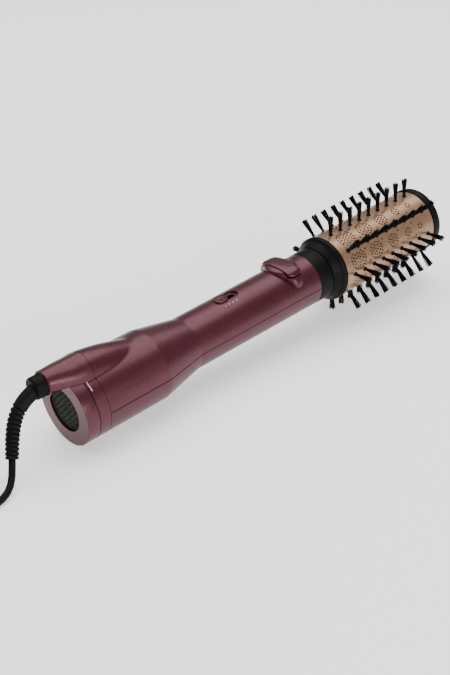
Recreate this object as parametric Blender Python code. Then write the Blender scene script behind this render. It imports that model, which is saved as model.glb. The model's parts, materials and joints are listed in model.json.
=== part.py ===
"""Rotating hot air brush: handle with fan and controls, perforated barrel with eight bristle rows, corded.

The tool lies on its back rim and its lowest bristle row, switches up.
Its own frame runs along +X from the intake face (x = 0) to the tip, with +Z through the switches.
Sizes below are in millimetres, angles in degrees, counted from the top towards -Y.
"""
import math

import bmesh
import bpy
from mathutils import Matrix, Vector

MM = 0.001
GAP = 0.3          # between touching pieces
RUN = 0.4          # between pieces that turn in each other

# Handle
BODY_R = 26.2
WALL = 2.2
RING_END = 9.6     # pull-off filter ring
CAP_END = 18.3     # rear cap band
CONE_START = 70.0
CONE_END = 103.7
NECK_R = 19.65
NECK_FRONT_R = 20.2
HANDLE_END = 223.0
SEAM = 0.15        # half the gap between the two shells
FACE_R = 25.3      # intake face, inside its rounded rim
GRILLE_R = 15.8
GRILLE_SEAT_R = 17.0
GRILLE_DEPTH = 1.75
GRILLE_PITCH = 6.6
GRILLE_HOLE = 4.6
SPIGOT_L = 3.7

# Hump over the cord entry: station, centre height and radius of each section
HUMP = [(-12.6, 27.0, 8.8), (-2.0, 24.6, 11.4), (8.0, 22.1, 13.5), (18.3, 21.7, 13.9),
        (36.0, 19.2, 13.4), (57.0, 14.9, 11.8), (74.0, 10.5, 11.5)]
HUMP_WALL = 2.4
TAIL_R = 9.1       # tube under the hump's rear end
SWIVEL_R = 7.8
SWIVEL_STEM_R = 4.6
SWIVEL_OUT = 8.0   # how far the swivel stands out of the hump
SLEEVE_R = 5.2
SLEEVE_END_R = 4.3
CORD_R = 2.4

# Controls
SLOT_START = 134.6
SLOT_L = 21.4
SLOT_W = 9.6
KNOB_L = 11.0
KNOB_W = 8.6
KNOB_H = 2.3
SLIDE_TRAVEL = 9.0
ROCKER_X = 201.5
BEZEL_HALF_ARC = 62.0
BEZEL_HALF_W = 11.6
BEZEL_H = 4.3      # at its two raised ends
BEZEL_DIP_H = 2.4  # in the middle of the saddle
ROCKER_HALF_ARC = 40.0
ROCKER_W = 12.6
ROCKER_H = 1.3     # above the bezel
ROCKER_LIFT = 1.9  # above the handle, so that it can tip
PIN_R = 0.6
TIP_ANGLE = 4.0

# Head
COLLAR_R = 20.4
COLLAR_END = 236.2
BASE_END = 247.1
BASE_R = 25.6
BARREL_R = 25.0
BARREL_WALL = 1.0
BARREL_END = 349.3
TIP_END = 358.0
TIP_R = 25.85
TIP_FLAT_R = 22.8
ROWS = 8
TUFTS = 9
TUFT_START = 8.1   # from the barrel's rear edge to the first tuft
TUFT_PITCH = 10.78
TUFT_TIP_R = 40.6
TUFT_ROOT = 1.15
TUFT_END = 1.9
BOSS_R = 1.6
BOSS_H = 1.1
TUFT_SIDES = 6
STRIP_W = 6.0
STRIP_T = 2.1
SHAFT_R = 2.2

# Inside the handle
MOTOR_R = 12.6
MOTOR_X = (43.5, 68.0)
FAN_X = (30.5, 41.5)
FAN_R = 22.6
FAN_HUB_R = 9.0
BLADES = 7
VANES = 5
BOARD_Z = 8.9
BOARD_T = 1.5
BOARD_X = (112.0, 208.5)
HEATER_X = (122.0, 178.0)
HEATER_R = 10.4
HEATER_Z = -2.6
HEATER_TURNS = 6
GEAR_MOTOR_R = 7.9
GEAR_MOTOR_X = (186.0, 211.5)
GEARBOX_R = 9.6
GEARBOX_X = (211.9, 225.6)

# Cord, plug and coil: the route and the lying pieces are set out in metres where the tool lies
CORD_ROUTE = [
    (-0.2162, -0.0094, 0.0161), (-0.2174, -0.0108, 0.0140), (-0.2187, -0.0123, 0.0120),
    (-0.2201, -0.0139, 0.0101), (-0.2216, -0.0156, 0.0084), (-0.2233, -0.0172, 0.0069),
    (-0.2251, -0.0187, 0.0056), (-0.2271, -0.0201, 0.0046), (-0.2293, -0.0213, 0.0038),
    (-0.2316, -0.0224, 0.0033), (-0.2341, -0.0233, 0.0029), (-0.2366, -0.0240, 0.0027),
    (-0.2392, -0.0245, 0.0026), (-0.2418, -0.0248, 0.0026), (-0.2444, -0.0249, 0.0026),
    (-0.2470, -0.0249, 0.0026), (-0.2496, -0.0248, 0.0026), (-0.2521, -0.0248, 0.0026),
    (-0.2546, -0.0247, 0.0026),
]
COIL_CENTRE = (-0.2760, 0.0086)
COIL_MID_R = 0.0260
COIL_WIDE = 0.0198
COIL_HIGH = 0.0142
TIE_ANGLE = 180.0
TIE_WIDE = 0.0070
TIE_THICK = 0.0010
LEAD_ANGLE = 120.0  # where the lead to the plug leaves the coil, which is wound clockwise
LEAD_L = 0.0140
PLUG_L = 0.0350
PLUG_W = 0.0350
PLUG_T = 0.0137
PLUG_NECK_W = 0.0090
PLUG_PIN_R = 0.0020
PLUG_PIN_L = 0.0190
PLUG_PITCH = 0.0186
ON_THE_CORD = ("strain_relief", "cord", "cord_coil", "cord_tie", "cord_lead", "plug_body", "plug_pin_1",
               "plug_pin_2")

SIDES = 28


def material(name, colour, roughness, metallic=0.0):
    made = bpy.data.materials.get(name) or bpy.data.materials.new(name)
    made.use_nodes = True
    shader = made.node_tree.nodes["Principled BSDF"]
    shader.inputs["Base Color"].default_value = (*colour, 1.0)
    shader.inputs["Roughness"].default_value = roughness
    shader.inputs["Metallic"].default_value = metallic
    made.diffuse_color = (*colour, 1.0)
    return made


def empty(name, parent=None, place=(0, 0, 0), turn=(0, 0, 0)):
    made = bpy.data.objects.new(name, None)
    bpy.context.scene.collection.objects.link(made)
    made.parent = parent
    made.location = Vector(place) * MM
    made.rotation_euler = [math.radians(a) for a in turn]
    return made


def add(name, bm, parent, finish, cutter=False):
    """Make an object from a mesh drawn in the tool's millimetres, placed by its parent."""
    bmesh.ops.remove_doubles(bm, verts=bm.verts, dist=0.001)
    bmesh.ops.recalc_face_normals(bm, faces=bm.faces)
    if bm.calc_volume(signed=True) < 0:
        bmesh.ops.reverse_faces(bm, faces=bm.faces)
    origin = Vector(parent["place"]) if parent is not None and "place" in parent else Vector()
    for vertex in bm.verts:
        vertex.co = (vertex.co - origin) * MM
    mesh = bpy.data.meshes.new(name)
    bm.to_mesh(mesh)
    bm.free()
    made = bpy.data.objects.new(name, mesh)
    bpy.context.scene.collection.objects.link(made)
    made.parent = parent
    if cutter:
        made.hide_render = True
        made.display_type = "WIRE"
    else:
        mesh.materials.append(finish)
        mesh.shade_smooth()
        mesh.set_sharp_from_angle(angle=math.radians(32))
    return made


def joint_empty(name, parent, place):
    made = empty(name, parent, place)
    made["place"] = place
    return made


def boolean(target, operation, *tools):
    for tool in tools:
        modifier = target.modifiers.new(f"{operation.lower()}_{tool.name}", "BOOLEAN")
        modifier.operation = operation
        modifier.solver = "EXACT"
        modifier.object = tool


def round_mesh(outline, start=0.0, end=360.0, sides=SIDES, centre=(0.0, 0.0), bm=None):
    """Turn a closed outline of (x, radius) points about the tool's axis, or a line parallel to it."""
    bm = bm or bmesh.new()
    full = abs(end - start) >= 360.0
    count = sides if full else sides + 1
    rings = []
    for i in range(count):
        angle = math.radians(start + (end - start) * i / sides)
        ring = []
        for x, r in outline:
            place = (x, centre[0] - r * math.sin(angle), centre[1] + r * math.cos(angle))
            ring.append(bm.verts.new(place))
        rings.append(ring)
    for i in range(sides):
        here = rings[i]
        there = rings[(i + 1) % count]
        for j in range(len(outline)):
            k = (j + 1) % len(outline)
            if outline[j][1] < 1e-6 and outline[k][1] < 1e-6:
                continue
            corners = [here[j], here[k], there[k], there[j]]
            if outline[j][1] < 1e-6:
                corners = [here[j], here[k], there[k]]
            elif outline[k][1] < 1e-6:
                corners = [here[j], here[k], there[j]]
            bm.faces.new(corners)
    if full:
        loose = [v for v in bm.verts if not v.link_faces]
        bmesh.ops.delete(bm, geom=loose, context="VERTS")
    else:
        bm.faces.new(rings[0])
        bm.faces.new(rings[-1])
    return bm


def rod_outline(x0, x1, radius, chamfer=0.0):
    if not chamfer:
        return [(x0, 0.0), (x0, radius), (x1, radius), (x1, 0.0)]
    return [(x0, 0.0), (x0, radius - chamfer), (x0 + chamfer, radius), (x1 - chamfer, radius),
            (x1, radius - chamfer), (x1, 0.0)]


def pipe_outline(x0, x1, inner, outer):
    return [(x0, inner), (x0, outer), (x1, outer), (x1, inner)]


def rod(name, x0, x1, radius, parent, finish, centre=(0.0, 0.0), sides=16, chamfer=0.0, cutter=False):
    bm = round_mesh(rod_outline(x0, x1, radius, chamfer), sides=sides, centre=centre)
    return add(name, bm, parent, finish, cutter)


def pipe(name, x0, x1, inner, outer, parent, finish, centre=(0.0, 0.0), sides=24):
    return add(name, round_mesh(pipe_outline(x0, x1, inner, outer), sides=sides, centre=centre), parent,
               finish)


def block_mesh(low, high, bevel=0.0, bm=None):
    bm = bm or bmesh.new()
    size = [b - a for a, b in zip(low, high)]
    middle = [(a + b) / 2 for a, b in zip(low, high)]
    made = bmesh.ops.create_cube(bm, size=1.0)["verts"]
    bmesh.ops.scale(bm, vec=size, verts=made)
    bmesh.ops.translate(bm, vec=middle, verts=made)
    if bevel:
        edges = list({edge for v in made for edge in v.link_edges})
        bmesh.ops.bevel(bm, geom=edges, offset=bevel, segments=1, profile=0.5, affect="EDGES", material=-1)
    return bm


def block(name, low, high, parent, finish, bevel=0.0, cutter=False):
    return add(name, block_mesh(low, high, bevel), parent, finish, cutter)


def prism_mesh(points, low, high, axis="Z"):
    """Extrude a closed outline along one axis; the outline gives the other two in order."""
    bm = bmesh.new()
    ends = []
    for level in (low, high):
        ring = []
        for a, b in points:
            place = {"X": (level, a, b), "Y": (a, level, b), "Z": (a, b, level)}[axis]
            ring.append(bm.verts.new(place))
        bm.faces.new(ring)
        ends.append(ring)
    for i in range(len(points)):
        k = (i + 1) % len(points)
        bm.faces.new([ends[0][i], ends[0][k], ends[1][k], ends[1][i]])
    return bm


def pill_outline(x0, x1, width, arc_points=6):
    """An outline in X and Y with two round ends."""
    radius = width / 2
    points = []
    for centre, first in ((x1 - radius, -90.0), (x0 + radius, 90.0)):
        for i in range(arc_points + 1):
            angle = math.radians(first + 180.0 * i / arc_points)
            points.append((centre + radius * math.cos(angle), radius * math.sin(angle)))
    return points


def loft_mesh(sections, sides=26):
    """Skin circles given as (x, centre height, radius) and close both ends."""
    bm = bmesh.new()
    rings = []
    for x, height, radius in sections:
        ring = []
        for i in range(sides):
            angle = 2 * math.pi * i / sides
            ring.append(bm.verts.new((x, -radius * math.sin(angle), height + radius * math.cos(angle))))
        rings.append(ring)
    for here, there in zip(rings, rings[1:]):
        for i in range(sides):
            k = (i + 1) % sides
            bm.faces.new([here[i], here[k], there[k], there[i]])
    bm.faces.new(rings[0])
    bm.faces.new(rings[-1])
    return bm


def around(angle, radius):
    """The (y, z) place at an angle from the top, towards -Y."""
    a = math.radians(angle)
    return (-radius * math.sin(a), radius * math.cos(a))


def neck_radius(x):
    share = (x - CONE_END) / (HANDLE_END - CONE_END)
    return NECK_R + (NECK_FRONT_R - NECK_R) * share


def hump_at(x):
    for (x0, c0, r0), (x1, c1, r1) in zip(HUMP, HUMP[1:]):
        if x <= x1:
            share = (x - x0) / (x1 - x0)
            return (x, c0 + (c1 - c0) * share, r0 + (r1 - r0) * share)
    return HUMP[-1]


def hump_sections(start, end, wall=0.0):
    inner = [x for x, _, _ in HUMP if start + 1.0 < x < end - 1.0]
    rows = [hump_at(x) for x in [start, *inner, end]]
    return [(x, c, r - wall) for x, c, r in rows]


def handle_outside():
    return [(CONE_START, BODY_R), (CONE_START + 3.0, BODY_R - 0.35), (CONE_END - 3.0, NECK_R + 0.3),
            (CONE_END, NECK_R)]


# Finishes
def finishes():
    return {
        "burgundy": material("burgundy", (0.16, 0.042, 0.058), 0.32, 0.55),
        "face": material("intake_face", (0.33, 0.15, 0.16), 0.45, 0.4),
        "black": material("black_plastic", (0.014, 0.015, 0.015), 0.5),
        "rubber": material("cord_rubber", (0.012, 0.013, 0.013), 0.6),
        "nylon": material("bristle_nylon", (0.013, 0.014, 0.014), 0.45),
        "gold": material("rose_gold", (0.55, 0.38, 0.28), 0.35, 0.9),
        "steel": material("steel", (0.55, 0.56, 0.57), 0.3, 1.0),
        "mica": material("mica", (0.62, 0.57, 0.45), 0.7),
        "wire": material("heater_wire", (0.42, 0.36, 0.31), 0.45, 1.0),
        "board": material("board_green", (0.03, 0.16, 0.07), 0.5),
        "white": material("white_plastic", (0.7, 0.7, 0.68), 0.5),
        "brass": material("brass", (0.6, 0.42, 0.16), 0.3, 1.0),
    }


LUG_R = BODY_R - WALL - 2.6
LUG_ANGLES = (55.0, -55.0, 125.0, -125.0)


def shell(name, tool, finish, upper):
    """One half of the handle: a turned skin cut by its hollow, with two screw lugs at the rear."""
    start, end = (-90.0, 90.0) if upper else (90.0, 270.0)
    rear = CAP_END + GAP
    outside = [(rear, 0.0), (rear, BODY_R), *handle_outside(), (HANDLE_END, NECK_FRONT_R), (HANDLE_END, 0.0)]
    half = round_mesh(outside, start, end, sides=SIDES // 2)
    shift = SEAM if upper else -SEAM
    bmesh.ops.translate(half, vec=(0, 0, shift), verts=half.verts)
    made = add(name, half, tool, finish)
    over = 1.0
    inside = [(rear - over, 0.0), (rear - over, BODY_R - WALL)]
    inside += [(x, r - WALL) for x, r in handle_outside()]
    inside += [(HANDLE_END + over, NECK_FRONT_R - WALL), (HANDLE_END + over, 0.0)]
    if upper:
        hump = add("hump_solid", loft_mesh(hump_sections(rear, HUMP[-1][0])), tool, finish, cutter=True)
        above = block("above_seam", (rear, -30, SEAM + 5.0), (90, 30, 60), tool, finish, cutter=True)
        boolean(hump, "INTERSECT", above)
        boolean(made, "UNION", hump)
    hollow = add(f"{name}_hollow", round_mesh(inside), tool, finish, cutter=True)
    if upper:
        sections = hump_sections(rear, 50.0, HUMP_WALL)
        sections[0] = (rear - over, *sections[0][1:])
        hump_hollow = add("hump_hollow", loft_mesh(sections), tool, finish, cutter=True)
        boolean(hollow, "UNION", hump_hollow)
    lugs = []
    for i, angle in enumerate(LUG_ANGLES):
        if (abs(angle) < 90.0) != upper:
            continue
        place = around(angle, LUG_R)
        lug = rod(f"{name}_lug_{i}", rear + 0.4, rear + 8.0, 3.0, tool, finish, place, 10, cutter=True)
        pilot = rod(f"{name}_pilot_{i}", rear - over, rear + 7.0, 1.5, tool, finish, place, 8, cutter=True)
        lugs.append((lug, pilot))
    boolean(made, "DIFFERENCE", hollow)
    for lug, pilot in lugs:
        boolean(made, "UNION", lug)
        boolean(made, "DIFFERENCE", pilot)
    return made


def handle(tool, look):
    burgundy = look["burgundy"]
    upper = shell("upper_shell", tool, burgundy, True)
    shell("lower_shell", tool, burgundy, False)

    slot_end = SLOT_START + SLOT_L
    recess_z = neck_radius(SLOT_START) - 1.35
    recess = add("slot_recess", prism_mesh(pill_outline(SLOT_START, slot_end, SLOT_W), recess_z, 30.0),
                 tool, burgundy, cutter=True)
    stem_room = SLIDE_TRAVEL + KNOB_L - 4.0
    first = SLOT_START + (SLOT_L - stem_room) / 2
    through = block("slot_through", (first, -1.9, 10.0), (first + stem_room, 1.9, 30.0), tool, burgundy,
                    cutter=True)
    boolean(upper, "DIFFERENCE", recess, through)

    opening = block("rocker_opening", (ROCKER_X - 4.6, -6.2, 12.0), (ROCKER_X + 4.6, 6.2, 30.0),
                    tool, burgundy, cutter=True)
    pin_z = neck_radius(ROCKER_X) - WALL / 2
    pin_hole = rod("pin_hole", ROCKER_X - 7.4, ROCKER_X + 7.4, PIN_R + GAP, tool, burgundy, (0.0, pin_z), 8,
                   cutter=True)
    boolean(upper, "DIFFERENCE", opening, pin_hole)
    rod("rocker_pin", ROCKER_X - 7.0, ROCKER_X + 7.0, PIN_R, tool, look["steel"], (0.0, pin_z), 8)


def rear_cap(tool, look):
    """The band behind the shells with the hump's tail, which carries the cord's swivel."""
    front = CAP_END
    back = RING_END + GAP
    flange = front - 2.4
    band = [(back, BODY_R - WALL), (back, BODY_R), (front, BODY_R), (front, 17.0), (flange, 17.0),
            (flange, BODY_R - WALL)]
    made = add("rear_cap", round_mesh(band), tool, look["burgundy"])
    tail = add("hump_tail", loft_mesh(hump_sections(HUMP[0][0], front)), tool, look["burgundy"], cutter=True)
    room_outline = [(HUMP[0][0] - 5.0, 0.0), (HUMP[0][0] - 5.0, BODY_R + GAP), (back, BODY_R + GAP),
                    (back, BODY_R - WALL), (flange, BODY_R - WALL), (flange, 0.0)]
    room = add("tail_room", round_mesh(room_outline), tool, look["burgundy"], cutter=True)
    tube = rod("tail_tube", HUMP[0][0] - 0.4, front - 0.6, TAIL_R, tool, look["burgundy"],
               (0.0, HUMP[0][1]), 24, cutter=True)
    boolean(tail, "DIFFERENCE", room)
    boolean(tail, "UNION", tube)
    boolean(made, "UNION", tail)
    inner = rod("cap_inner", back - 12.0, front + 2.0, 17.0, tool, look["burgundy"], cutter=True,
                sides=SIDES)
    centre = (0.0, HUMP[0][1])
    bore = rod("swivel_bore", HUMP[0][0] - 2.0, 2.0, SWIVEL_R + RUN, tool, look["burgundy"], centre, 24,
               cutter=True)
    stem = rod("stem_bore", 0.0, front + 2.0, SWIVEL_STEM_R + RUN, tool, look["burgundy"], centre, 20,
               cutter=True)
    boolean(made, "DIFFERENCE", bore, stem, inner)
    for i, angle in enumerate(LUG_ANGLES):
        place = around(angle, LUG_R)
        hole = rod(f"cap_hole_{i}", flange - 1.0, front + 1.0, 1.5, tool, look["burgundy"], place, 8,
                   cutter=True)
        boolean(made, "DIFFERENCE", hole)
        screw = [(flange - 2.0, 0.0), (flange - 2.0, 1.8), (flange - 1.5, 2.2), (flange - GAP, 2.2),
                 (flange - GAP, 1.2), (front + 6.0, 1.2), (front + 6.6, 0.6), (front + 6.6, 0.0)]
        add(f"cap_screw_{i + 1}", round_mesh(screw, sides=8, centre=place), tool, look["steel"])


def filter_piece(tool, look):
    """The pull-off ring with its grille; its notch clears the tail tube, so that it slides off rearwards."""
    slide = joint_empty("filter_slide", tool, (0.0, 0.0, 0.0))
    rim = BODY_R - FACE_R
    inner = BODY_R - WALL - GAP
    outline = [(0.0, GRILLE_R), (0.0, FACE_R), (rim * 0.3, FACE_R + rim * 0.7), (rim, BODY_R),
               (RING_END, BODY_R),
               (RING_END, inner), (RING_END + SPIGOT_L, inner), (RING_END + SPIGOT_L, inner - 1.8),
               (RING_END, inner - 1.8), (RING_END - 2.0, GRILLE_SEAT_R), (GRILLE_DEPTH, GRILLE_SEAT_R),
               (GRILLE_DEPTH, GRILLE_R)]
    ring = add("filter_ring", round_mesh(outline), slide, look["face"])
    notch = rod("ring_notch", -5.0, RING_END + SPIGOT_L + 5.0, TAIL_R + GAP, slide, look["face"],
                (0.0, HUMP[0][1]), 24, cutter=True)
    boolean(ring, "DIFFERENCE", notch)
    seat = GRILLE_SEAT_R - GAP
    grille = add("intake_grille", round_mesh(rod_outline(GRILLE_DEPTH + GAP, GRILLE_DEPTH + GAP + 0.9, seat),
                                            sides=24), slide, look["black"])
    reach = int((seat - GRILLE_HOLE) / GRILLE_PITCH)
    for i in range(-reach, reach + 1):
        holes = bmesh.new()
        for j in range(-reach, reach + 1):
            y = i * GRILLE_PITCH
            z = j * GRILLE_PITCH
            if math.hypot(abs(y) + GRILLE_HOLE / 2, abs(z) + GRILLE_HOLE / 2) > seat - 1.9:
                continue
            half = GRILLE_HOLE / 2
            block_mesh((-1.0, y - half, z - half), (6.0, y + half, z + half), bm=holes)
        boolean(grille, "DIFFERENCE", add(f"grille_holes_{i + reach}", holes, slide, look["black"],
                                          cutter=True))
    clip = pipe("grille_clip", GRILLE_DEPTH + 1.5, GRILLE_DEPTH + 3.0, seat - 1.8, seat, slide, look["black"])
    # What sits in the ring keeps clear of the tail tube as the ring does
    boolean(grille, "DIFFERENCE", notch)
    boolean(clip, "DIFFERENCE", notch)


def fan(tool, look):
    x0, x1 = MOTOR_X
    motor = [(x0, 1.8), (x0, MOTOR_R - 1.2), (x0 + 1.2, MOTOR_R), (x1 - 1.2, MOTOR_R), (x1, MOTOR_R - 1.2),
             (x1, 0.0),
             (x0 + 9.0, 0.0), (x0 + 9.0, 1.8)]
    add("fan_motor", round_mesh(motor, sides=24), tool, look["steel"])
    outer = BODY_R - WALL - GAP
    m0, m1 = x0 + 4.0, x0 + 14.0
    mount = add("motor_mount", round_mesh(pipe_outline(m0, m1, outer - 1.4, outer), sides=32), tool,
                look["black"])
    sleeve = add("mount_sleeve", round_mesh(pipe_outline(m0, m1, MOTOR_R + GAP, MOTOR_R + GAP + 1.4),
                                            sides=24),
                 tool, look["black"], cutter=True)
    boolean(mount, "UNION", sleeve)
    for i in range(VANES):
        angle = 36.0 + 360.0 * i / VANES
        vane = block_mesh((m0 + 1.0, -0.7, MOTOR_R + 1.0), (m1 - 1.0, 0.7, outer - 0.7))
        bmesh.ops.rotate(vane, cent=(0, 0, 0), matrix=Matrix.Rotation(math.radians(angle), 3, "X"),
                         verts=vane.verts)
        boolean(mount, "UNION", add(f"mount_vane_{i}", vane, tool, look["black"], cutter=True))

    spin = joint_empty("fan_spin", tool, (0.0, 0.0, 0.0))
    f0, f1 = FAN_X
    hub = [(f0, 1.5), (f0, FAN_HUB_R - 4.0), (f0 + 2.0, FAN_HUB_R - 1.4), (f0 + 4.5, FAN_HUB_R),
           (f1, FAN_HUB_R),
           (f1, 1.5)]
    impeller = add("impeller", round_mesh(hub, sides=24), spin, look["black"])
    for i in range(BLADES):
        blade = block_mesh((f0 + 3.0, -0.6, FAN_HUB_R - 1.0), (f1 - 1.0, 0.6, FAN_R))
        middle = ((f0 + f1) / 2 + 1.0, 0.0, 0.0)
        bmesh.ops.rotate(blade, cent=middle, matrix=Matrix.Rotation(math.radians(32), 3, "Z"),
                         verts=blade.verts)
        turn = Matrix.Rotation(2 * math.pi * i / BLADES, 3, "X")
        bmesh.ops.rotate(blade, cent=(0, 0, 0), matrix=turn, verts=blade.verts)
        boolean(impeller, "UNION", add(f"blade_{i}", blade, spin, look["black"], cutter=True))
    rod("fan_shaft", f0 + 0.5, x0 + 8.0, 1.2, spin, look["steel"], sides=10)


def controls(tool, look):
    b0, b1 = BOARD_X
    block("circuit_board", (b0, -13.2, BOARD_Z), (b1, 13.2, BOARD_Z + BOARD_T), tool, look["board"])
    top = BOARD_Z + BOARD_T + GAP
    centre = SLOT_START + SLOT_L / 2
    block("slide_switch", (centre - 11.0, -4.2, top), (centre + 11.0, 4.2, top + 2.8), tool, look["black"],
          0.4)
    block("rocker_switch", (ROCKER_X - 5.0, -5.0, top), (ROCKER_X + 5.0, 5.0, top + 3.0), tool,
          look["black"], 0.4)

    slide = joint_empty("speed_slide", tool, (SLOT_START + 0.5 + KNOB_L / 2, 0.0, neck_radius(SLOT_START)))
    x = SLOT_START + 0.5 + KNOB_L / 2
    floor = neck_radius(SLOT_START) - 1.35
    low = floor + GAP
    knob = bmesh.new()
    levels = [(0.0, low), (0.0, low + KNOB_H - 0.4), (0.35, low + KNOB_H), (0.9, low + KNOB_H),
              (1.3, low + KNOB_H - 0.7)]
    rings = []
    for inset, z in levels:
        outline = pill_outline(x - KNOB_L / 2 + inset, x + KNOB_L / 2 - inset, KNOB_W - 2 * inset, 8)
        rings.append([knob.verts.new((px, py, z)) for px, py in outline])
    for here, there in zip(rings, rings[1:]):
        for j in range(len(here)):
            k = (j + 1) % len(here)
            knob.faces.new([here[j], here[k], there[k], there[j]])
    knob.faces.new(rings[0])
    knob.faces.new(rings[-1])
    add("switch_knob", knob, slide, look["burgundy"])
    lever_top = floor - 0.2
    shell_inside = neck_radius(SLOT_START) - WALL
    lever = block_mesh((x - 4.5, -3.4, top + 2.8 + GAP), (x + 4.5, 3.4, shell_inside - 1.2))
    slider = add("switch_slider", lever, slide, look["white"])
    stem = block("slider_stem", (x - 2.5, -1.5, shell_inside - 2.0), (x + 2.5, 1.5, lever_top), slide,
                 look["white"], cutter=True)
    boolean(slider, "UNION", stem)
    return slider


def saddle_height(share):
    """The saddle's rise over the handle: lowest in the middle, highest before its two ends."""
    s = abs(share)
    if s < 0.62:
        return BEZEL_DIP_H + (BEZEL_H - BEZEL_DIP_H) * 0.5 * (1 - math.cos(math.pi * s / 0.62))
    return BEZEL_H * math.sqrt(max(0.0, 1 - ((s - 0.62) / 0.40) ** 2))


def saddle_width(share):
    return BEZEL_HALF_W * (1 - abs(share) ** 3) ** 0.5


def rocker(tool, look):
    """The saddle-shaped bezel, and the rocker that tips in it about a pin along the handle."""
    base = neck_radius(ROCKER_X + BEZEL_HALF_W) + GAP
    steps = 18
    cross = [(-1.0, 0.0), (-0.94, 0.55), (-0.78, 0.9), (-0.5, 1.0), (0.5, 1.0), (0.78, 0.9), (0.94, 0.55),
             (1.0, 0.0)]
    bm = bmesh.new()
    rings = []
    for i in range(steps + 1):
        share = -0.985 + 1.97 * i / steps
        angle = share * BEZEL_HALF_ARC
        ring = []
        for across, up in cross:
            y, z = around(angle, base + 0.02 + max(0.25, saddle_height(share)) * up)
            ring.append(bm.verts.new((ROCKER_X + across * saddle_width(share), y, z)))
        rings.append(ring)
    for here, there in zip(rings, rings[1:]):
        for j in range(len(cross)):
            k = (j + 1) % len(cross)
            bm.faces.new([here[j], here[k], there[k], there[j]])
    bm.faces.new(rings[0])
    bm.faces.new(rings[-1])
    bezel = add("rocker_bezel", bm, tool, look["burgundy"])
    window = round_mesh([(ROCKER_X - ROCKER_W / 2 - 0.5, 12.0), (ROCKER_X - ROCKER_W / 2 - 0.5, 40.0),
                         (ROCKER_X + ROCKER_W / 2 + 0.5, 40.0), (ROCKER_X + ROCKER_W / 2 + 0.5, 12.0)],
                        -ROCKER_HALF_ARC - 2.5, ROCKER_HALF_ARC + 2.5, sides=16)
    boolean(bezel, "DIFFERENCE", add("bezel_window", window, tool, look["burgundy"], cutter=True))

    pin_z = neck_radius(ROCKER_X) - WALL / 2
    tilt = joint_empty("rocker_tilt", tool, (ROCKER_X, 0.0, pin_z))
    low = neck_radius(ROCKER_X) + ROCKER_LIFT
    count = 16
    upper = []
    lower = []
    for i in range(count + 1):
        share = -1 + 2 * i / count
        angle = share * ROCKER_HALF_ARC
        rise = saddle_height(share * ROCKER_HALF_ARC / BEZEL_HALF_ARC)
        edge = 1 - 0.55 * max(0.0, abs(share) - 0.8) / 0.2
        lift = ROCKER_LIFT * 0.6 * abs(share)
        upper.append(around(angle, base + rise + ROCKER_H * edge))
        lower.append(around(angle, min(low + lift, base + rise - 0.2)))
    body = prism_mesh(upper + lower[::-1], ROCKER_X - ROCKER_W / 2, ROCKER_X + ROCKER_W / 2, "X")
    button = add("rocker_button", body, tilt, look["burgundy"])
    stem = block("rocker_stem", (ROCKER_X - 3.6, -1.9, pin_z - 2.6), (ROCKER_X + 3.6, 1.9, low + 0.5), tilt,
                 look["burgundy"], cutter=True)
    bore = rod("rocker_bore", ROCKER_X - 8.0, ROCKER_X + 8.0, PIN_R + GAP, tilt, look["burgundy"],
               (0.0, pin_z), 8,
               cutter=True)
    boolean(button, "UNION", stem)
    boolean(button, "DIFFERENCE", bore)


def heater(tool, look):
    x0, x1 = HEATER_X
    centre = (0.0, HEATER_Z)
    pipe("heater_tube", x0, x1, HEATER_R - 0.6, HEATER_R, tool, look["mica"], centre, 24)
    half = HEATER_R - 0.6 - GAP - 2.6
    bm = block_mesh((x0 + 1.0, -half, HEATER_Z - 0.4), (x1 - 1.0, half, HEATER_Z + 0.4))
    frame = add("heater_frame", bm, tool, look["mica"])
    post = block("heater_post", (x0 + 1.0, -0.4, HEATER_Z - half), (x1 - 1.0, 0.4, HEATER_Z + half), tool,
                 look["mica"], cutter=True)
    boolean(frame, "UNION", post)
    points = 10
    curve = bpy.data.curves.new("heater_coil", "CURVE")
    curve.dimensions = "3D"
    curve.bevel_depth = 0.45 * MM
    curve.bevel_resolution = 0
    curve.use_fill_caps = True
    spline = curve.splines.new("POLY")
    total = HEATER_TURNS * points
    spline.points.add(total)
    radius = half + GAP + 0.75
    for i in range(total + 1):
        angle = 2 * math.pi * i / points
        x = x0 + 4.0 + (x1 - x0 - 8.0) * i / total
        place = (x, radius * math.sin(angle), HEATER_Z + radius * math.cos(angle))
        spline.points[i].co = (*[v * MM for v in place], 1.0)
    coil = bpy.data.objects.new("heater_coil", curve)
    bpy.context.scene.collection.objects.link(coil)
    coil.parent = tool
    curve.materials.append(look["wire"])
    block("thermostat", (x1 + 1.0, -4.5, HEATER_Z - 2.2), (x1 + 5.0, 4.5, HEATER_Z + 2.2), tool,
          look["steel"], 0.4)


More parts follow.
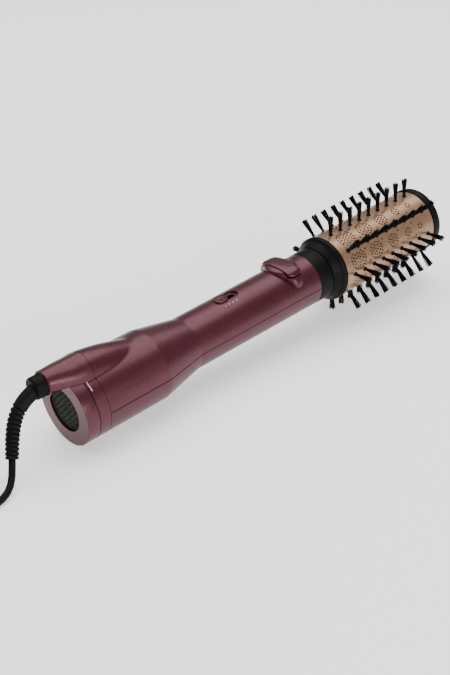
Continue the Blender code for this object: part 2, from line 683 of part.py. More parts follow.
def drive(tool, look):
    """The gear motor, its gearbox and the plate that holds them in the collar."""
    g0, g1 = GEAR_MOTOR_X
    rod("gear_motor", g0, g1, GEAR_MOTOR_R, tool, look["steel"], sides=20, chamfer=0.8)
    b0, b1 = GEARBOX_X
    box = [(b0, 0.0), (b0, GEARBOX_R), (b1, GEARBOX_R), (b1, SHAFT_R + RUN), (b1 - 6.0, SHAFT_R + RUN),
           (b1 - 6.0, 0.0)]
    add("gearbox", round_mesh(box, sides=24), tool, look["black"])
    spigot = NECK_FRONT_R - WALL - 2 * GAP
    inner = spigot - 2.0
    p0 = b1 + GAP
    plate = add("gear_bracket", round_mesh(pipe_outline(p0, p0 + 2.0, SHAFT_R + RUN + 0.6, inner - GAP),
                                           sides=20), tool,
                look["steel"])
    holes = 5
    for i in range(holes):
        place = around(30.0 + 360.0 * i / holes, 11.2)
        hole = rod(f"bracket_hole_{i}", p0 - 2.0, p0 + 4.0, 2.7, tool, look["steel"], place, 8, cutter=True)
        boolean(plate, "DIFFERENCE", hole)

    collar_start = HANDLE_END + GAP
    web = p0 + 2.0 + GAP
    outline = [(collar_start - 6.5, inner), (collar_start - 6.5, spigot), (collar_start, spigot),
               (collar_start, neck_radius(HANDLE_END) - 0.4), (collar_start + 0.5, neck_radius(HANDLE_END)),
               (COLLAR_END - 0.6, COLLAR_R), (COLLAR_END, COLLAR_R - 0.6), (COLLAR_END, inner + 1.0),
               (web + 2.5, inner + 1.0), (web + 2.5, 4.4), (web, 4.4), (web, inner)]
    collar = add("front_collar", round_mesh(outline), tool, look["black"])
    for i in range(holes):
        place = around(360.0 * i / holes, 11.2)
        hole = rod(f"collar_hole_{i}", web - 2.0, web + 5.0, 3.6, tool, look["black"], place, 8, cutter=True)
        boolean(collar, "DIFFERENCE", hole)
    pipe("shaft_bush", web, web + 4.5, SHAFT_R + RUN, 4.4 - GAP, tool, look["brass"], sides=20)


def brush_head(tool, look):
    spin = joint_empty("brush_spin", tool, (COLLAR_END, 0.0, 0.0))
    start = COLLAR_END + RUN
    inside = BARREL_R - BARREL_WALL
    spigot = inside - GAP - 0.1
    hub = SHAFT_R + GAP
    outline = [(start, 17.6), (start, COLLAR_R - 0.2), (start + 1.2, COLLAR_R + 0.5),
               (start + 5.5, COLLAR_R + 2.9),
               (BASE_END - 3.0, BASE_R - 0.4), (BASE_END - 1.6, BASE_R), (BASE_END, BASE_R - 0.2),
               (BASE_END, spigot), (BASE_END + 3.6, spigot), (BASE_END + 3.6, spigot - 1.6),
               (start + 4.6, spigot - 1.6),
               (start + 4.6, hub + 2.4), (start + 7.6, hub + 2.4), (start + 7.6, hub), (start + 2.0, hub),
               (start + 2.0, 17.6)]
    base = add("head_base", round_mesh(outline), spin, look["black"])
    holes = 5
    for i in range(holes):
        place = around(15.0 + 360.0 * i / holes, 12.0)
        hole = rod(f"base_hole_{i}", start + 0.5, start + 9.0, 4.2, spin, look["black"], place, 8,
                   cutter=True)
        boolean(base, "DIFFERENCE", hole)

    barrel_start = BASE_END + GAP
    barrel = add("barrel", round_mesh(pipe_outline(barrel_start, BARREL_END, inside, BARREL_R), sides=40),
                 spin,
                 look["gold"])
    first = barrel_start + TUFT_START
    for row in range(ROWS):
        turn = Matrix.Rotation(math.radians(360.0 * row / ROWS), 3, "X")
        holes = bmesh.new()
        for i in range(TUFTS):
            x = first + i * TUFT_PITCH
            made = bmesh.ops.create_cone(holes, cap_ends=True, segments=TUFT_SIDES, radius1=BOSS_R + 0.55,
                                         radius2=BOSS_R + 0.55,
                                         depth=6.0)["verts"]
            half_turn = Matrix.Rotation(math.pi / TUFT_SIDES, 3, "Z")
            bmesh.ops.rotate(holes, cent=(0, 0, 0), matrix=half_turn, verts=made)
            bmesh.ops.translate(holes, vec=(x, 0, BARREL_R), verts=made)
        bmesh.ops.rotate(holes, cent=(0, 0, 0), matrix=turn, verts=holes.verts)
        boolean(barrel, "DIFFERENCE", add(f"tuft_holes_{row}", holes, spin, look["gold"], cutter=True))

        low = BARREL_END - 3.4
        top = math.sqrt(inside ** 2 - (STRIP_W / 2) ** 2) - GAP - 0.15
        strip = block_mesh((first - 2.6, -STRIP_W / 2, top - STRIP_T), (low - 0.3, STRIP_W / 2, top))
        bmesh.ops.rotate(strip, cent=(0, 0, 0), matrix=turn, verts=strip.verts)
        made_row = add(f"bristle_row_{row + 1}", strip, spin, look["nylon"])
        tufts = bmesh.new()
        for i in range(TUFTS):
            x = first + i * TUFT_PITCH
            levels = [(top - STRIP_T / 2, BOSS_R), (BARREL_R + 0.2, BOSS_R), (BARREL_R + BOSS_H, TUFT_ROOT),
                      (TUFT_TIP_R, TUFT_END)]
            rings = []
            for z, r in levels:
                ring = []
                for k in range(TUFT_SIDES):
                    angle = 2 * math.pi * (k + 0.5) / TUFT_SIDES
                    ring.append(tufts.verts.new((x + r * math.cos(angle), r * math.sin(angle), z)))
                rings.append(ring)
            for here, there in zip(rings, rings[1:]):
                for k in range(TUFT_SIDES):
                    after = (k + 1) % TUFT_SIDES
                    tufts.faces.new([here[k], here[after], there[after], there[k]])
            tufts.faces.new(rings[0])
            tufts.faces.new(rings[-1])
        bmesh.ops.rotate(tufts, cent=(0, 0, 0), matrix=turn, verts=tufts.verts)
        boolean(made_row, "UNION", add(f"tufts_{row}", tufts, spin, look["nylon"], cutter=True))

    cap_start = BARREL_END + GAP
    blind = TIP_END - 5.0
    outline = [(cap_start - 3.0, spigot - 1.6), (cap_start - 3.0, spigot), (cap_start, spigot),
               (cap_start, TIP_R - 0.4), (cap_start + 0.5, TIP_R), (TIP_END - 2.6, TIP_R),
               (TIP_END - 0.9, TIP_R - 0.8), (TIP_END, TIP_FLAT_R), (TIP_END, 0.0), (blind, 0.0),
               (blind, SHAFT_R + GAP), (cap_start - 3.0, SHAFT_R + GAP), (cap_start - 3.0, SHAFT_R + 3.0),
               (blind + 1.5, SHAFT_R + 3.0), (blind + 1.5, spigot - 1.6)]
    add("end_cap", round_mesh(outline), spin, look["black"])
    rod("drive_shaft", GEARBOX_X[1] - 5.5, blind - GAP, SHAFT_R, spin, look["steel"], sides=12)
    return spin


# Sleeve, from inside the swivel to its end, in the tool's millimetres
SLEEVE_ROUTE = [(-15.5, 0.0, 26.2), (-19.5, 0.0, 25.3), (-23.8, 0.0, 23.8), (-28.6, -0.3, 21.4),
                (-33.7, -1.0, 17.6),
                (-38.0, -2.0, 12.2), (-41.6, -3.5, 5.6), (-44.8, -5.6, -1.1), (-48.6, -9.4, -7.1)]


def smooth_route(points, spacing):
    """Read points at even spacing from a smooth curve (Catmull-Rom) through the route's own points."""
    route = [Vector(p) for p in points]
    route = [route[0] * 2 - route[1], *route, route[-1] * 2 - route[-2]]
    fine = []
    for a, b, c, d in zip(route, route[1:], route[2:], route[3:]):
        for i in range(24):
            t = i / 24
            fine.append(0.5 * ((2 * b) + (c - a) * t + (2 * a - 5 * b + 4 * c - d) * t * t
                               + (3 * b - a - 3 * c + d) * t ** 3))
    fine.append(route[-2])
    length = sum((b - a).length for a, b in zip(fine, fine[1:]))
    count = max(2, round(length / spacing))
    made = [fine[0]]
    run = 0.0
    for a, b in zip(fine, fine[1:]):
        step = (b - a).length
        while len(made) < count and run + step >= length * len(made) / count:
            share = (length * len(made) / count - run) / step
            made.append(a.lerp(b, share))
        run += step
    made.append(fine[-1])
    return made


def tube_mesh(points, radii, sides=10):
    """Skin circles square to a route, without twist."""
    bm = bmesh.new()
    rings = []
    side = Vector((0, 1, 0))
    for i, point in enumerate(points):
        before = points[max(0, i - 1)]
        after = points[min(len(points) - 1, i + 1)]
        along = (after - before).normalized()
        side = (side - along * side.dot(along)).normalized()
        up = along.cross(side)
        ring = []
        for k in range(sides):
            angle = 2 * math.pi * k / sides
            ring.append(bm.verts.new(point + (side * math.cos(angle) + up * math.sin(angle)) * radii[i]))
        rings.append(ring)
    for here, there in zip(rings, rings[1:]):
        for k in range(sides):
            after = (k + 1) % sides
            bm.faces.new([here[k], here[after], there[after], there[k]])
    bm.faces.new(rings[0])
    bm.faces.new(rings[-1])
    return bm


def swivel(tool, look):
    """The barrel that turns in the hump, its clip, and the bend sleeve that it carries."""
    centre = (0.0, HUMP[0][1])
    turn = joint_empty("swivel_turn", tool, (HUMP[0][0], 0.0, HUMP[0][1]))
    back = HUMP[0][0] - SWIVEL_OUT
    front = 2.0 - GAP
    end = CAP_END + 3.4
    outline = [(back, 0.0), (back, SWIVEL_R - 2.6), (back + 0.9, SWIVEL_R - 0.9), (back + 2.6, SWIVEL_R),
               (front, SWIVEL_R), (front, SWIVEL_STEM_R), (end, SWIVEL_STEM_R), (end, 0.0)]
    barrel = add("cord_swivel", round_mesh(outline, sides=24, centre=centre), turn, look["black"])
    clip = CAP_END + GAP + 0.3
    pipe("swivel_clip", clip, clip + 1.4, SWIVEL_STEM_R + GAP, SWIVEL_STEM_R + 1.0, turn, look["steel"],
         centre, 16)
    points = smooth_route(SLEEVE_ROUTE, 4.5)
    count = len(points) - 1
    radii = [SLEEVE_R + (SLEEVE_END_R - SLEEVE_R) * i / count for i in range(count + 1)]
    add("strain_relief", tube_mesh(points, radii, 12), turn, look["rubber"])
    socket = add("sleeve_socket", tube_mesh(points[:6], [r + GAP for r in radii[:6]], 12), turn,
                 look["black"],
                 cutter=True)
    boolean(barrel, "DIFFERENCE", socket)


def free_tube(name, points, radius, finish):
    """A curve tube along points in metres, square to the route at both ends."""
    curve = bpy.data.curves.new(name, "CURVE")
    curve.dimensions = "3D"
    curve.bevel_depth = radius
    curve.bevel_resolution = 2
    curve.use_fill_caps = True
    spline = curve.splines.new("POLY")
    spline.points.add(len(points) - 1)
    for point, place in zip(spline.points, points):
        point.co = (*place, 1.0)
    made = bpy.data.objects.new(name, curve)
    bpy.context.scene.collection.objects.link(made)
    curve.materials.append(finish)
    return made


def cord(look):
    """The free cord, laid out where the tool lies: a run to the coil, the coil in its tie, and the plug."""
    radius = CORD_R * MM
    gap = GAP * MM
    route = smooth_route(CORD_ROUTE, 5.0 * radius)
    route[0] = route[0] + (route[1] - route[0]).normalized() * 2 * gap
    free_tube("cord", route, radius, look["rubber"])

    low, high = 0.0, COIL_HIGH
    inner, outer = COIL_MID_R - COIL_WIDE / 2, COIL_MID_R + COIL_WIDE / 2
    edge = radius * 0.7
    section = [(low, inner + edge), (low, outer - edge), (low + edge, outer), (high - edge, outer),
               (high, outer - edge),
               (high, inner + edge), (high - edge, inner), (low + edge, inner)]
    stand = empty("coil_place", None)
    stand.location = (*COIL_CENTRE, 0.0)
    bm = round_mesh([(z / MM, r / MM) for z, r in section], sides=24)
    upright = Matrix.Rotation(math.radians(-90), 3, "Y")
    bmesh.ops.rotate(bm, cent=(0, 0, 0), matrix=upright, verts=bm.verts)
    coil = add("cord_coil", bm, stand, look["rubber"])

    sag = inner - math.sqrt(inner ** 2 - (TIE_WIDE / 2 + gap) ** 2)

    def strap_block(name, grow, z0, z1, wide, cutter):
        made = block_mesh(((inner - sag) / MM - grow, -wide / MM / 2, z0 / MM),
                          (outer / MM + grow, wide / MM / 2, z1 / MM))
        turn = Matrix.Rotation(math.radians(TIE_ANGLE), 3, "Z")
        bmesh.ops.rotate(made, cent=(0, 0, 0), matrix=turn, verts=made.verts)
        return add(name, made, stand, look["black"], cutter)

    groove = TIE_THICK + 2 * gap
    notch = strap_block("tie_groove", 6.0, -0.005, groove, TIE_WIDE + 2 * gap, True)
    boolean(coil, "DIFFERENCE", notch)
    tie = strap_block("cord_tie", GAP + TIE_THICK / MM, gap / 3, high + gap + TIE_THICK, TIE_WIDE, False)
    room = strap_block("tie_room", GAP, TIE_THICK + gap / 3, high + gap, TIE_WIDE * 2, True)
    boolean(tie, "DIFFERENCE", room)

    angle = math.radians(LEAD_ANGLE)
    turn_r = outer + radius + 2 * gap
    heading = Vector((math.sin(angle), -math.cos(angle), 0.0))
    start = Vector((COIL_CENTRE[0] + turn_r * math.cos(angle), COIL_CENTRE[1] + turn_r * math.sin(angle),
                    PLUG_T / 2))
    end = start + heading * LEAD_L
    free_tube("cord_lead", [start, start.lerp(end, 0.5), end], radius, look["rubber"])

    plug = empty("plug_place", None)
    plug.location = end + heading * gap
    plug.rotation_euler = (0.0, 0.0, math.atan2(heading.y, heading.x))
    length, half, neck = PLUG_L / MM, PLUG_W / MM / 2, PLUG_NECK_W / MM / 2
    outline = [(0.0, -neck), (length * 0.28, -neck), (length * 0.72, -half), (length, -half), (length, half),
               (length * 0.72, half), (length * 0.28, neck), (0.0, neck)]
    body = prism_mesh(outline, -PLUG_T / MM / 2, PLUG_T / MM / 2)
    level = [e for e in body.edges if abs(e.verts[0].co.z - e.verts[1].co.z) < 0.01]
    edges = [e for e in level if e.verts[0].co.x + e.verts[1].co.x < 1.99 * length]
    bmesh.ops.bevel(body, geom=edges, offset=1.6, segments=2, profile=0.5, affect="EDGES", material=-1)
    shell_body = add("plug_body", body, plug, look["black"])
    for i, side in enumerate((-1, 1)):
        centre = (side * PLUG_PITCH / MM / 2, 0.0)
        socket = rod(f"pin_socket_{i}", length - 4.0, length + 1.0, PLUG_PIN_R / MM + GAP, plug,
                     look["black"], centre,
                     12, cutter=True)
        boolean(shell_body, "DIFFERENCE", socket)
        rod(f"plug_pin_{i + 1}", length - 3.7, length + PLUG_PIN_L / MM, PLUG_PIN_R / MM, plug,
            look["brass"], centre, 12,
            chamfer=0.8)


def set_down(tool, left_out=()):
    """Move the tool so that it lies on z = 0 with its box centred over the origin."""
    bpy.context.view_layer.update()
    graph = bpy.context.evaluated_depsgraph_get()
    corners = []
    for made in bpy.data.objects:
        if made.type not in {"MESH", "CURVE"} or made.hide_render or made.name in left_out:
            continue
        seen = made.evaluated_get(graph)
        mesh = seen.to_mesh()
        corners += [seen.matrix_world @ v.co for v in mesh.vertices]
        seen.to_mesh_clear()
    low = [min(c[i] for c in corners) for i in range(3)]
    high = [max(c[i] for c in corners) for i in range(3)]
    tool.location = Vector((-(low[0] + high[0]) / 2, -(low[1] + high[1]) / 2, -low[2]))
    bpy.context.view_layer.update()


def main():
    for old in list(bpy.data.objects):
        bpy.data.objects.remove(old, do_unlink=True)
    look = finishes()
    reach = HANDLE_END + GAP + (COLLAR_END - HANDLE_END) + (BASE_END - COLLAR_END) + TUFT_START
    slope = math.degrees(math.asin((TUFT_TIP_R - FACE_R) / reach))
    tool = empty("tool", None, (0, 0, 0), (0, -slope, 0))
    handle(tool, look)
    rear_cap(tool, look)
    filter_piece(tool, look)
    fan(tool, look)
    controls(tool, look)
    rocker(tool, look)
    heater(tool, look)
    drive(tool, look)
    brush_head(tool, look)
    swivel(tool, look)
    set_down(tool, ON_THE_CORD)
    cord(look)


main()
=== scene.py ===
"""Looks of a rotating hot air brush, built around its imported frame.

Shapes are set out in the tool's own millimetres: x from the intake face to the tip, z through the
switches, y to the left. turn_to_row brings them to the row frame, where every piece is kept.
"""

import json
import math
import random

import bmesh
import bpy
from mathutils import Matrix, Vector


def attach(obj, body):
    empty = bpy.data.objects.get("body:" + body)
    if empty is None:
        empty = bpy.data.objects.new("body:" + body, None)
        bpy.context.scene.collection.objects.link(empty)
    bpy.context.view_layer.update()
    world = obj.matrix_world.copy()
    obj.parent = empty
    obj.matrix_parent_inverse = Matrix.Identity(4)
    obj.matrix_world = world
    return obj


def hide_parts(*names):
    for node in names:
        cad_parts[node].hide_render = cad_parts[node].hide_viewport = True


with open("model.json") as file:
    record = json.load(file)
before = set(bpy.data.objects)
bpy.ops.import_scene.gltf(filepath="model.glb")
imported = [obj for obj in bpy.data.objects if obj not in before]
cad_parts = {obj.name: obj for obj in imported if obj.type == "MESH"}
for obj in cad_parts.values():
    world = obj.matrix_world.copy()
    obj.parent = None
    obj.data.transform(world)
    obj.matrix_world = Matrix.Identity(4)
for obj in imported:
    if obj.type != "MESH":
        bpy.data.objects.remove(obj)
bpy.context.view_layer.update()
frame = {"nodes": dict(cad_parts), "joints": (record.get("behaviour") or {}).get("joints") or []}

joints = {j["name"]: j for j in frame["joints"]}
AXIS = Vector(joints["brush_spin"]["axis"]).normalized()
SIDE = Vector((0.0, 1.0, 0.0))
UP = AXIS.cross(SIDE).normalized()
MM = 0.001
COLLAR_END = 236.2
ORIGIN = Vector(joints["brush_spin"]["pos_m"]) - AXIS * COLLAR_END * MM
turn_to_row = (Matrix.Translation(ORIGIN) @ Matrix((AXIS, SIDE, UP)).transposed().to_4x4()
               @ Matrix.Scale(MM, 4))

# Handle
GAP = 0.3
BODY_R, WALL, FACE_R = 26.2, 2.2, 25.3
RING_END, CAP_END, HANDLE_END = 9.6, 18.3, 223.0
NECK_R, NECK_FRONT_R = 19.65, 20.2
BODY_LINE = [(CAP_END - 10.0, BODY_R), (69.8, BODY_R), (70.3, BODY_R - 0.07),
             (103.3, NECK_R + 0.1), (103.9, NECK_R), (HANDLE_END, NECK_FRONT_R)]
# The hump on the handle: x, height of its centre, radius
HUMP = [(-12.6, 27.0, 8.8), (-2.0, 24.6, 11.4), (8.0, 22.1, 13.5), (18.3, 21.7, 13.9),
        (36.0, 19.2, 13.4), (57.0, 14.9, 11.8), (74.0, 10.5, 11.5)]
HUMP_END, HUMP_FADED = 74.0, 79.0
TAIL_Z, TAIL_R, TAIL_BORE_R = 27.0, 9.1, 8.2
SEAT_R = 17.0

# Controls
SLOT_START, SLOT_L, SLOT_W, SLOT_FLOOR = 134.6, 21.4, 9.6, 18.44
KNOB_L, KNOB_W, KNOB_LOW = 11.0, 8.6, 18.74
ROCKER_X = 201.5
SADDLE_BASE = 20.45
SADDLE_ARC, WINDOW_ARC, PAD_ARC, SADDLE_SPAN = 61.07, 42.4, 40.0, 62.0

# Brush head
HEAD_START, BARREL_START, BARREL_END, BARREL_R = 236.6, 247.4, 349.3, 25.0
TIP_END, TIP_R = 358.0, 25.85
ROWS, TUFTS, TUFT_START, TUFT_PITCH, TUFT_TIP_R = 8, 9, 255.5, 10.78, 40.6
STRIP_END, STRIP_LEAD = 345.6, 2.6
BRISTLES, BRISTLE_R, ROOT_SPREAD, TIP_SPREAD = 30, 0.27, 0.9, 2.6
GOLDEN_TURN = 2.39996


# Camera
SENSOR, LENS = 36.0, 61.75
camera = bpy.data.objects.new("camera", bpy.data.cameras.new("camera"))
bpy.context.scene.collection.objects.link(camera)
camera.data.sensor_width = SENSOR
camera.data.lens = LENS
camera.data.clip_start = 0.02
camera.data.clip_end = 20.0
camera_spot = Vector((-0.5108, -0.5385, 0.4426))
look = Vector((0.57895, 0.64258, -0.5019)).normalized()
camera_right = Vector((0.73339, -0.67939, -0.02385)).normalized()
camera_up = camera_right.cross(look).normalized()
camera.matrix_world = (Matrix.Translation(camera_spot)
                       @ Matrix((camera_right, camera_up, -look)).transposed().to_4x4())
bpy.context.scene.camera = camera


# Shader maths
class Wire:
    """A shader socket that adds Math nodes when it is used in an expression."""

    def __init__(self, finish, socket):
        self.finish = finish
        self.socket = socket

    def maths(self, operation, *values):
        return self.finish.node("ShaderNodeMath", {"operation": operation}, *values)

    def __add__(self, other):
        return self.maths("ADD", self, other)

    def __radd__(self, other):
        return self.maths("ADD", other, self)

    def __sub__(self, other):
        return self.maths("SUBTRACT", self, other)

    def __mul__(self, other):
        return self.maths("MULTIPLY", self, other)

    def fade(self, low, high):
        """0 below low, 1 above high, smooth between."""
        return self.finish.node("ShaderNodeMapRange", {"interpolation_type": "SMOOTHSTEP"},
                                self, low, high)


class Finish:
    """One material of the brush, with its node tree."""

    def __init__(self, name, roughness, metallic=0.0, **sockets):
        self.material = bpy.data.materials.new(name)
        self.material.use_nodes = True
        self.tree = self.material.node_tree
        self.shader = self.tree.nodes["Principled BSDF"]
        self.shader.inputs["Roughness"].default_value = roughness
        self.shader.inputs["Metallic"].default_value = metallic
        for key, value in sockets.items():
            self.shader.inputs[key.replace("_", " ")].default_value = value
        self.place = self.node("ShaderNodeTexCoord", out="Object")

    def feed(self, socket, value):
        """Link a wire to a socket, or set the socket's own value."""
        if isinstance(value, Wire):
            self.tree.links.new(value.socket, socket)
        elif socket.type == "RGBA":
            socket.default_value = (*value, 1.0)
        else:
            socket.default_value = value

    def node(self, kind, settings=None, *values, out=0, **named):
        """Add a node; its inputs are given in order or by name."""
        made = self.tree.nodes.new(kind)
        for key, value in (settings or {}).items():
            setattr(made, key, value)
        for i, value in enumerate(values):
            self.feed(made.inputs[i], value)
        for key, value in named.items():
            self.feed(made.inputs[key.replace("_", " ")], value)
        return Wire(self, made.outputs[out])

    def noise(self, scale, detail=3.0, roughness=0.5):
        return self.node("ShaderNodeTexNoise", Vector=self.place, Scale=scale, Detail=detail,
                         Roughness=roughness)

    def along(self, direction):
        """Distance in millimetres from the tool's origin along a direction of the row frame."""
        apart = self.node("ShaderNodeVectorMath", {"operation": "SUBTRACT"},
                          self.place, tuple(ORIGIN))
        return self.node("ShaderNodeVectorMath", {"operation": "DOT_PRODUCT"},
                         apart, tuple(direction / MM), out=1)

    def mix(self, share, first, second):
        made = self.tree.nodes.new("ShaderNodeMix")
        made.data_type = "RGBA"
        for i, value in ((0, share), (6, first), (7, second)):
            self.feed(made.inputs[i], value)
        return Wire(self, made.outputs[2])

    def set(self, socket, wire):
        self.tree.links.new(wire.socket, self.shader.inputs[socket])

    def bump(self, height, distance, strength):
        self.set("Normal", self.node("ShaderNodeBump", Height=height, Distance=distance,
                                     Strength=strength))


def pearl(name, deep, base, glow, roughness, metallic, coat):
    """Satin paint with fine metal flakes and a slow drift of tone."""
    made = Finish(name, roughness, metallic, Coat_Roughness=0.22, Specular_IOR_Level=0.5)
    drift = made.noise(28.0, 2.0)
    flakes = made.node("ShaderNodeTexVoronoi", {"feature": "F1"}, Vector=made.place, Scale=3800.0,
                       out=1)
    spark = made.node("ShaderNodeSeparateColor", None, flakes).fade(0.55, 1.0)
    body = made.mix(drift.fade(0.25, 0.75), deep, base)
    made.set("Base Color", made.mix(spark * 0.35, body, glow))
    grain = made.noise(2600.0, 2.0)
    made.set("Roughness", roughness + (grain - 0.5) * 0.08 + (drift - 0.5) * 0.03)
    made.set("Coat Weight", coat + (drift - 0.5) * 0.05)
    made.bump(grain, 0.00002, 0.5)
    return made


def moulded(name, dark, light, roughness, grain_scale, depth, sheen=0.0):
    """Textured moulded plastic or rubber, with worn paler specks."""
    made = Finish(name, roughness, Specular_IOR_Level=0.07, Sheen_Weight=sheen, Sheen_Roughness=0.5)
    grain = made.noise(grain_scale, 4.0, 0.6)
    dust = made.noise(90.0, 5.0, 0.65)
    wear = grain.fade(0.3, 0.75) * 0.6 + dust.fade(0.5, 0.8) * 0.4
    made.set("Base Color", made.mix(wear, dark, light))
    made.set("Roughness", roughness + (dust - 0.5) * 0.2)
    made.bump(grain, depth, 0.6)
    return made


def metal(name, dark, light, roughness, direction, stretch):
    """Metal with fine drawn lines along a direction of the row frame."""
    made = Finish(name, roughness, 1.0)
    line = made.along(direction)
    lines = made.node("ShaderNodeTexNoise", {"noise_dimensions": "1D"}, W=line * stretch,
                      Scale=1.0, Detail=4.0)
    cloud = made.noise(60.0, 3.0)
    wear = lines.fade(0.3, 0.7) * 0.6 + cloud.fade(0.4, 0.7) * 0.4
    made.set("Base Color", made.mix(wear, dark, light))
    made.set("Roughness", roughness + (lines - 0.5) * 0.16)
    made.bump(lines, 0.00001, 0.3)
    return made


burgundy = pearl("burgundy_pearl", (0.055, 0.0064, 0.0138), (0.065, 0.0084, 0.0172),
                 (0.17, 0.042, 0.068), 0.35, 0.52, 0.06)
black = moulded("black_plastic", (0.0028, 0.0029, 0.0028), (0.0065, 0.0067, 0.0064),
                0.46, 900.0, 0.00003)
grille_black = moulded("grille_black", (0.03, 0.032, 0.029), (0.06, 0.063, 0.057),
                       0.4, 700.0, 0.00002)
rubber = moulded("cord_rubber", (0.0033, 0.0036, 0.0035), (0.008, 0.0084, 0.0082),
                 0.5, 520.0, 0.00004, 0.02)
nylon = moulded("bristle_nylon", (0.003, 0.0031, 0.0032), (0.008, 0.0082, 0.0084),
                0.36, 1500.0, 0.00001)
white = moulded("white_plastic", (0.6, 0.6, 0.57), (0.74, 0.74, 0.72), 0.4, 700.0, 0.00002)
mica = moulded("mica_board", (0.48, 0.42, 0.3), (0.72, 0.66, 0.52), 0.6, 260.0, 0.00005)
print_grey = moulded("print_grey", (0.42, 0.34, 0.35), (0.55, 0.47, 0.48), 0.5, 900.0, 0.00001)
steel = metal("steel", (0.34, 0.35, 0.36), (0.6, 0.61, 0.62), 0.3, SIDE, 9.0)
brass = metal("brass", (0.42, 0.28, 0.1), (0.68, 0.49, 0.2), 0.28, UP, 8.0)
wire_metal = metal("heater_wire", (0.22, 0.17, 0.14), (0.45, 0.37, 0.3), 0.42, AXIS, 6.0)


def barrel_coat():
    """Rose-gold ceramic coat: satin, with faint rings from the turning and a slow warm drift."""
    made = Finish("rose_gold", 0.34, 0.6, Specular_IOR_Level=0.4)
    rings = made.node("ShaderNodeTexNoise", {"noise_dimensions": "1D"}, W=made.along(AXIS) * 3.0,
                      Scale=1.0, Detail=5.0)
    drift = made.noise(22.0, 2.0)
    speck = made.noise(1800.0, 2.0)
    warm = made.mix(drift.fade(0.3, 0.7), (0.29, 0.168, 0.098), (0.325, 0.192, 0.115))
    made.set("Base Color", made.mix(rings.fade(0.35, 0.75) * 0.3, warm, (0.39, 0.26, 0.175)))
    made.set("Roughness", 0.32 + (rings - 0.5) * 0.12 + (speck - 0.5) * 0.1)
    made.bump(rings + speck * 0.4, 0.00002, 0.4)
    return made


def board_green():
    """Green lacquer with paler copper runs."""
    made = Finish("board_green", 0.35)
    runs = made.node("ShaderNodeTexBrick", {"offset": 0.3}, Vector=made.place, Scale=160.0,
                     Mortar_Size=0.03, out=1)
    made.set("Base Color", made.mix(runs, (0.015, 0.11, 0.05), (0.05, 0.26, 0.12)))
    made.bump(runs, 0.00003, 0.5)
    return made


rose_gold = barrel_coat()
board = board_green()


# Making pieces
def keep(bm, name, body, finish, replaces=(), bend_limit=35.0, to_row=turn_to_row):
    """Turn a bmesh in tool millimetres into a piece that rides on a body."""
    bmesh.ops.transform(bm, matrix=to_row, verts=bm.verts)
    bmesh.ops.remove_doubles(bm, verts=bm.verts, dist=0.000002)
    bmesh.ops.recalc_face_normals(bm, faces=bm.faces)
    mesh = bpy.data.meshes.new(name)
    bm.to_mesh(mesh)
    bm.free()
    mesh.shade_smooth()
    mesh.set_sharp_from_angle(angle=math.radians(bend_limit))
    mesh.materials.append(finish.material)
    piece = bpy.data.objects.new(name, mesh)
    bpy.context.scene.collection.objects.link(piece)
    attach(piece, body)
    if replaces:
        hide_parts(*replaces)
    return piece


def turned(profile, steps, angle=360.0, first=0.0, centre=(0.0, 0.0), closed=False):
    """Spin a profile of (x, radius) round an axis along x.

    The angles are in degrees; first is counted from the top towards -y.
    """
    bm = bmesh.new()
    points = [bm.verts.new((x, centre[0], centre[1] + max(r, 0.0))) for x, r in profile]
    edges = [bm.edges.new(pair) for pair in zip(points, points[1:])]
    if closed:
        edges.append(bm.edges.new((points[-1], points[0])))
    hub = (0.0, centre[0], centre[1])
    if first:
        start = Matrix.Rotation(math.radians(first), 3, "X")
        bmesh.ops.rotate(bm, cent=hub, matrix=start, verts=bm.verts)
    bmesh.ops.spin(bm, geom=points + edges, cent=hub, axis=(1, 0, 0), angle=math.radians(angle),
                   steps=steps, use_merge=angle == 360.0, use_normal_flip=False,
                   use_duplicate=False)
    bmesh.ops.remove_doubles(bm, verts=bm.verts, dist=0.001)
    bmesh.ops.recalc_face_normals(bm, faces=bm.faces)
    return bm


def rod(start, end, radius, steps, centre=(0.0, 0.0)):
    """A cylinder along x."""
    return turned([(start, 0.0), (start, radius), (end, radius), (end, 0.0)], steps, centre=centre)


def add_box(bm, size, middle):
    """Add a box to a bmesh and give its vertices."""
    made = bmesh.ops.create_cube(bm, size=1.0)["verts"]
    bmesh.ops.scale(bm, vec=size, verts=made)
    bmesh.ops.translate(bm, vec=middle, verts=made)
    return made


def box(size, middle):
    bm = bmesh.new()
    add_box(bm, size, middle)
    return bm


def soften(profile, radius=0.5, steps=3):
    """Round the corners of an open profile, apart from its two ends."""
    made = [profile[0]]
    for before, here, after in zip(profile, profile[1:], profile[2:]):
        b, h, a = Vector(before), Vector(here), Vector(after)
        reach = min(radius, (b - h).length * 0.45, (a - h).length * 0.45)
        p, q = h + (b - h).normalized() * reach, h + (a - h).normalized() * reach
        for i in range(steps + 1):
            t = i / steps
            made.append(tuple(p.lerp(h, t).lerp(h.lerp(q, t), t)))
    made.append(profile[-1])
    return made


def solid(bm, name):
    """A hidden solid in tool millimetres that a shape is cut with."""
    bmesh.ops.recalc_face_normals(bm, faces=bm.faces)
    if bm.calc_volume(signed=True) < 0:
        bmesh.ops.reverse_faces(bm, faces=bm.faces)
    mesh = bpy.data.meshes.new(name)
    bm.to_mesh(mesh)
    bm.free()
    made = bpy.data.objects.new(name, mesh)
    bpy.context.scene.collection.objects.link(made)
    return made


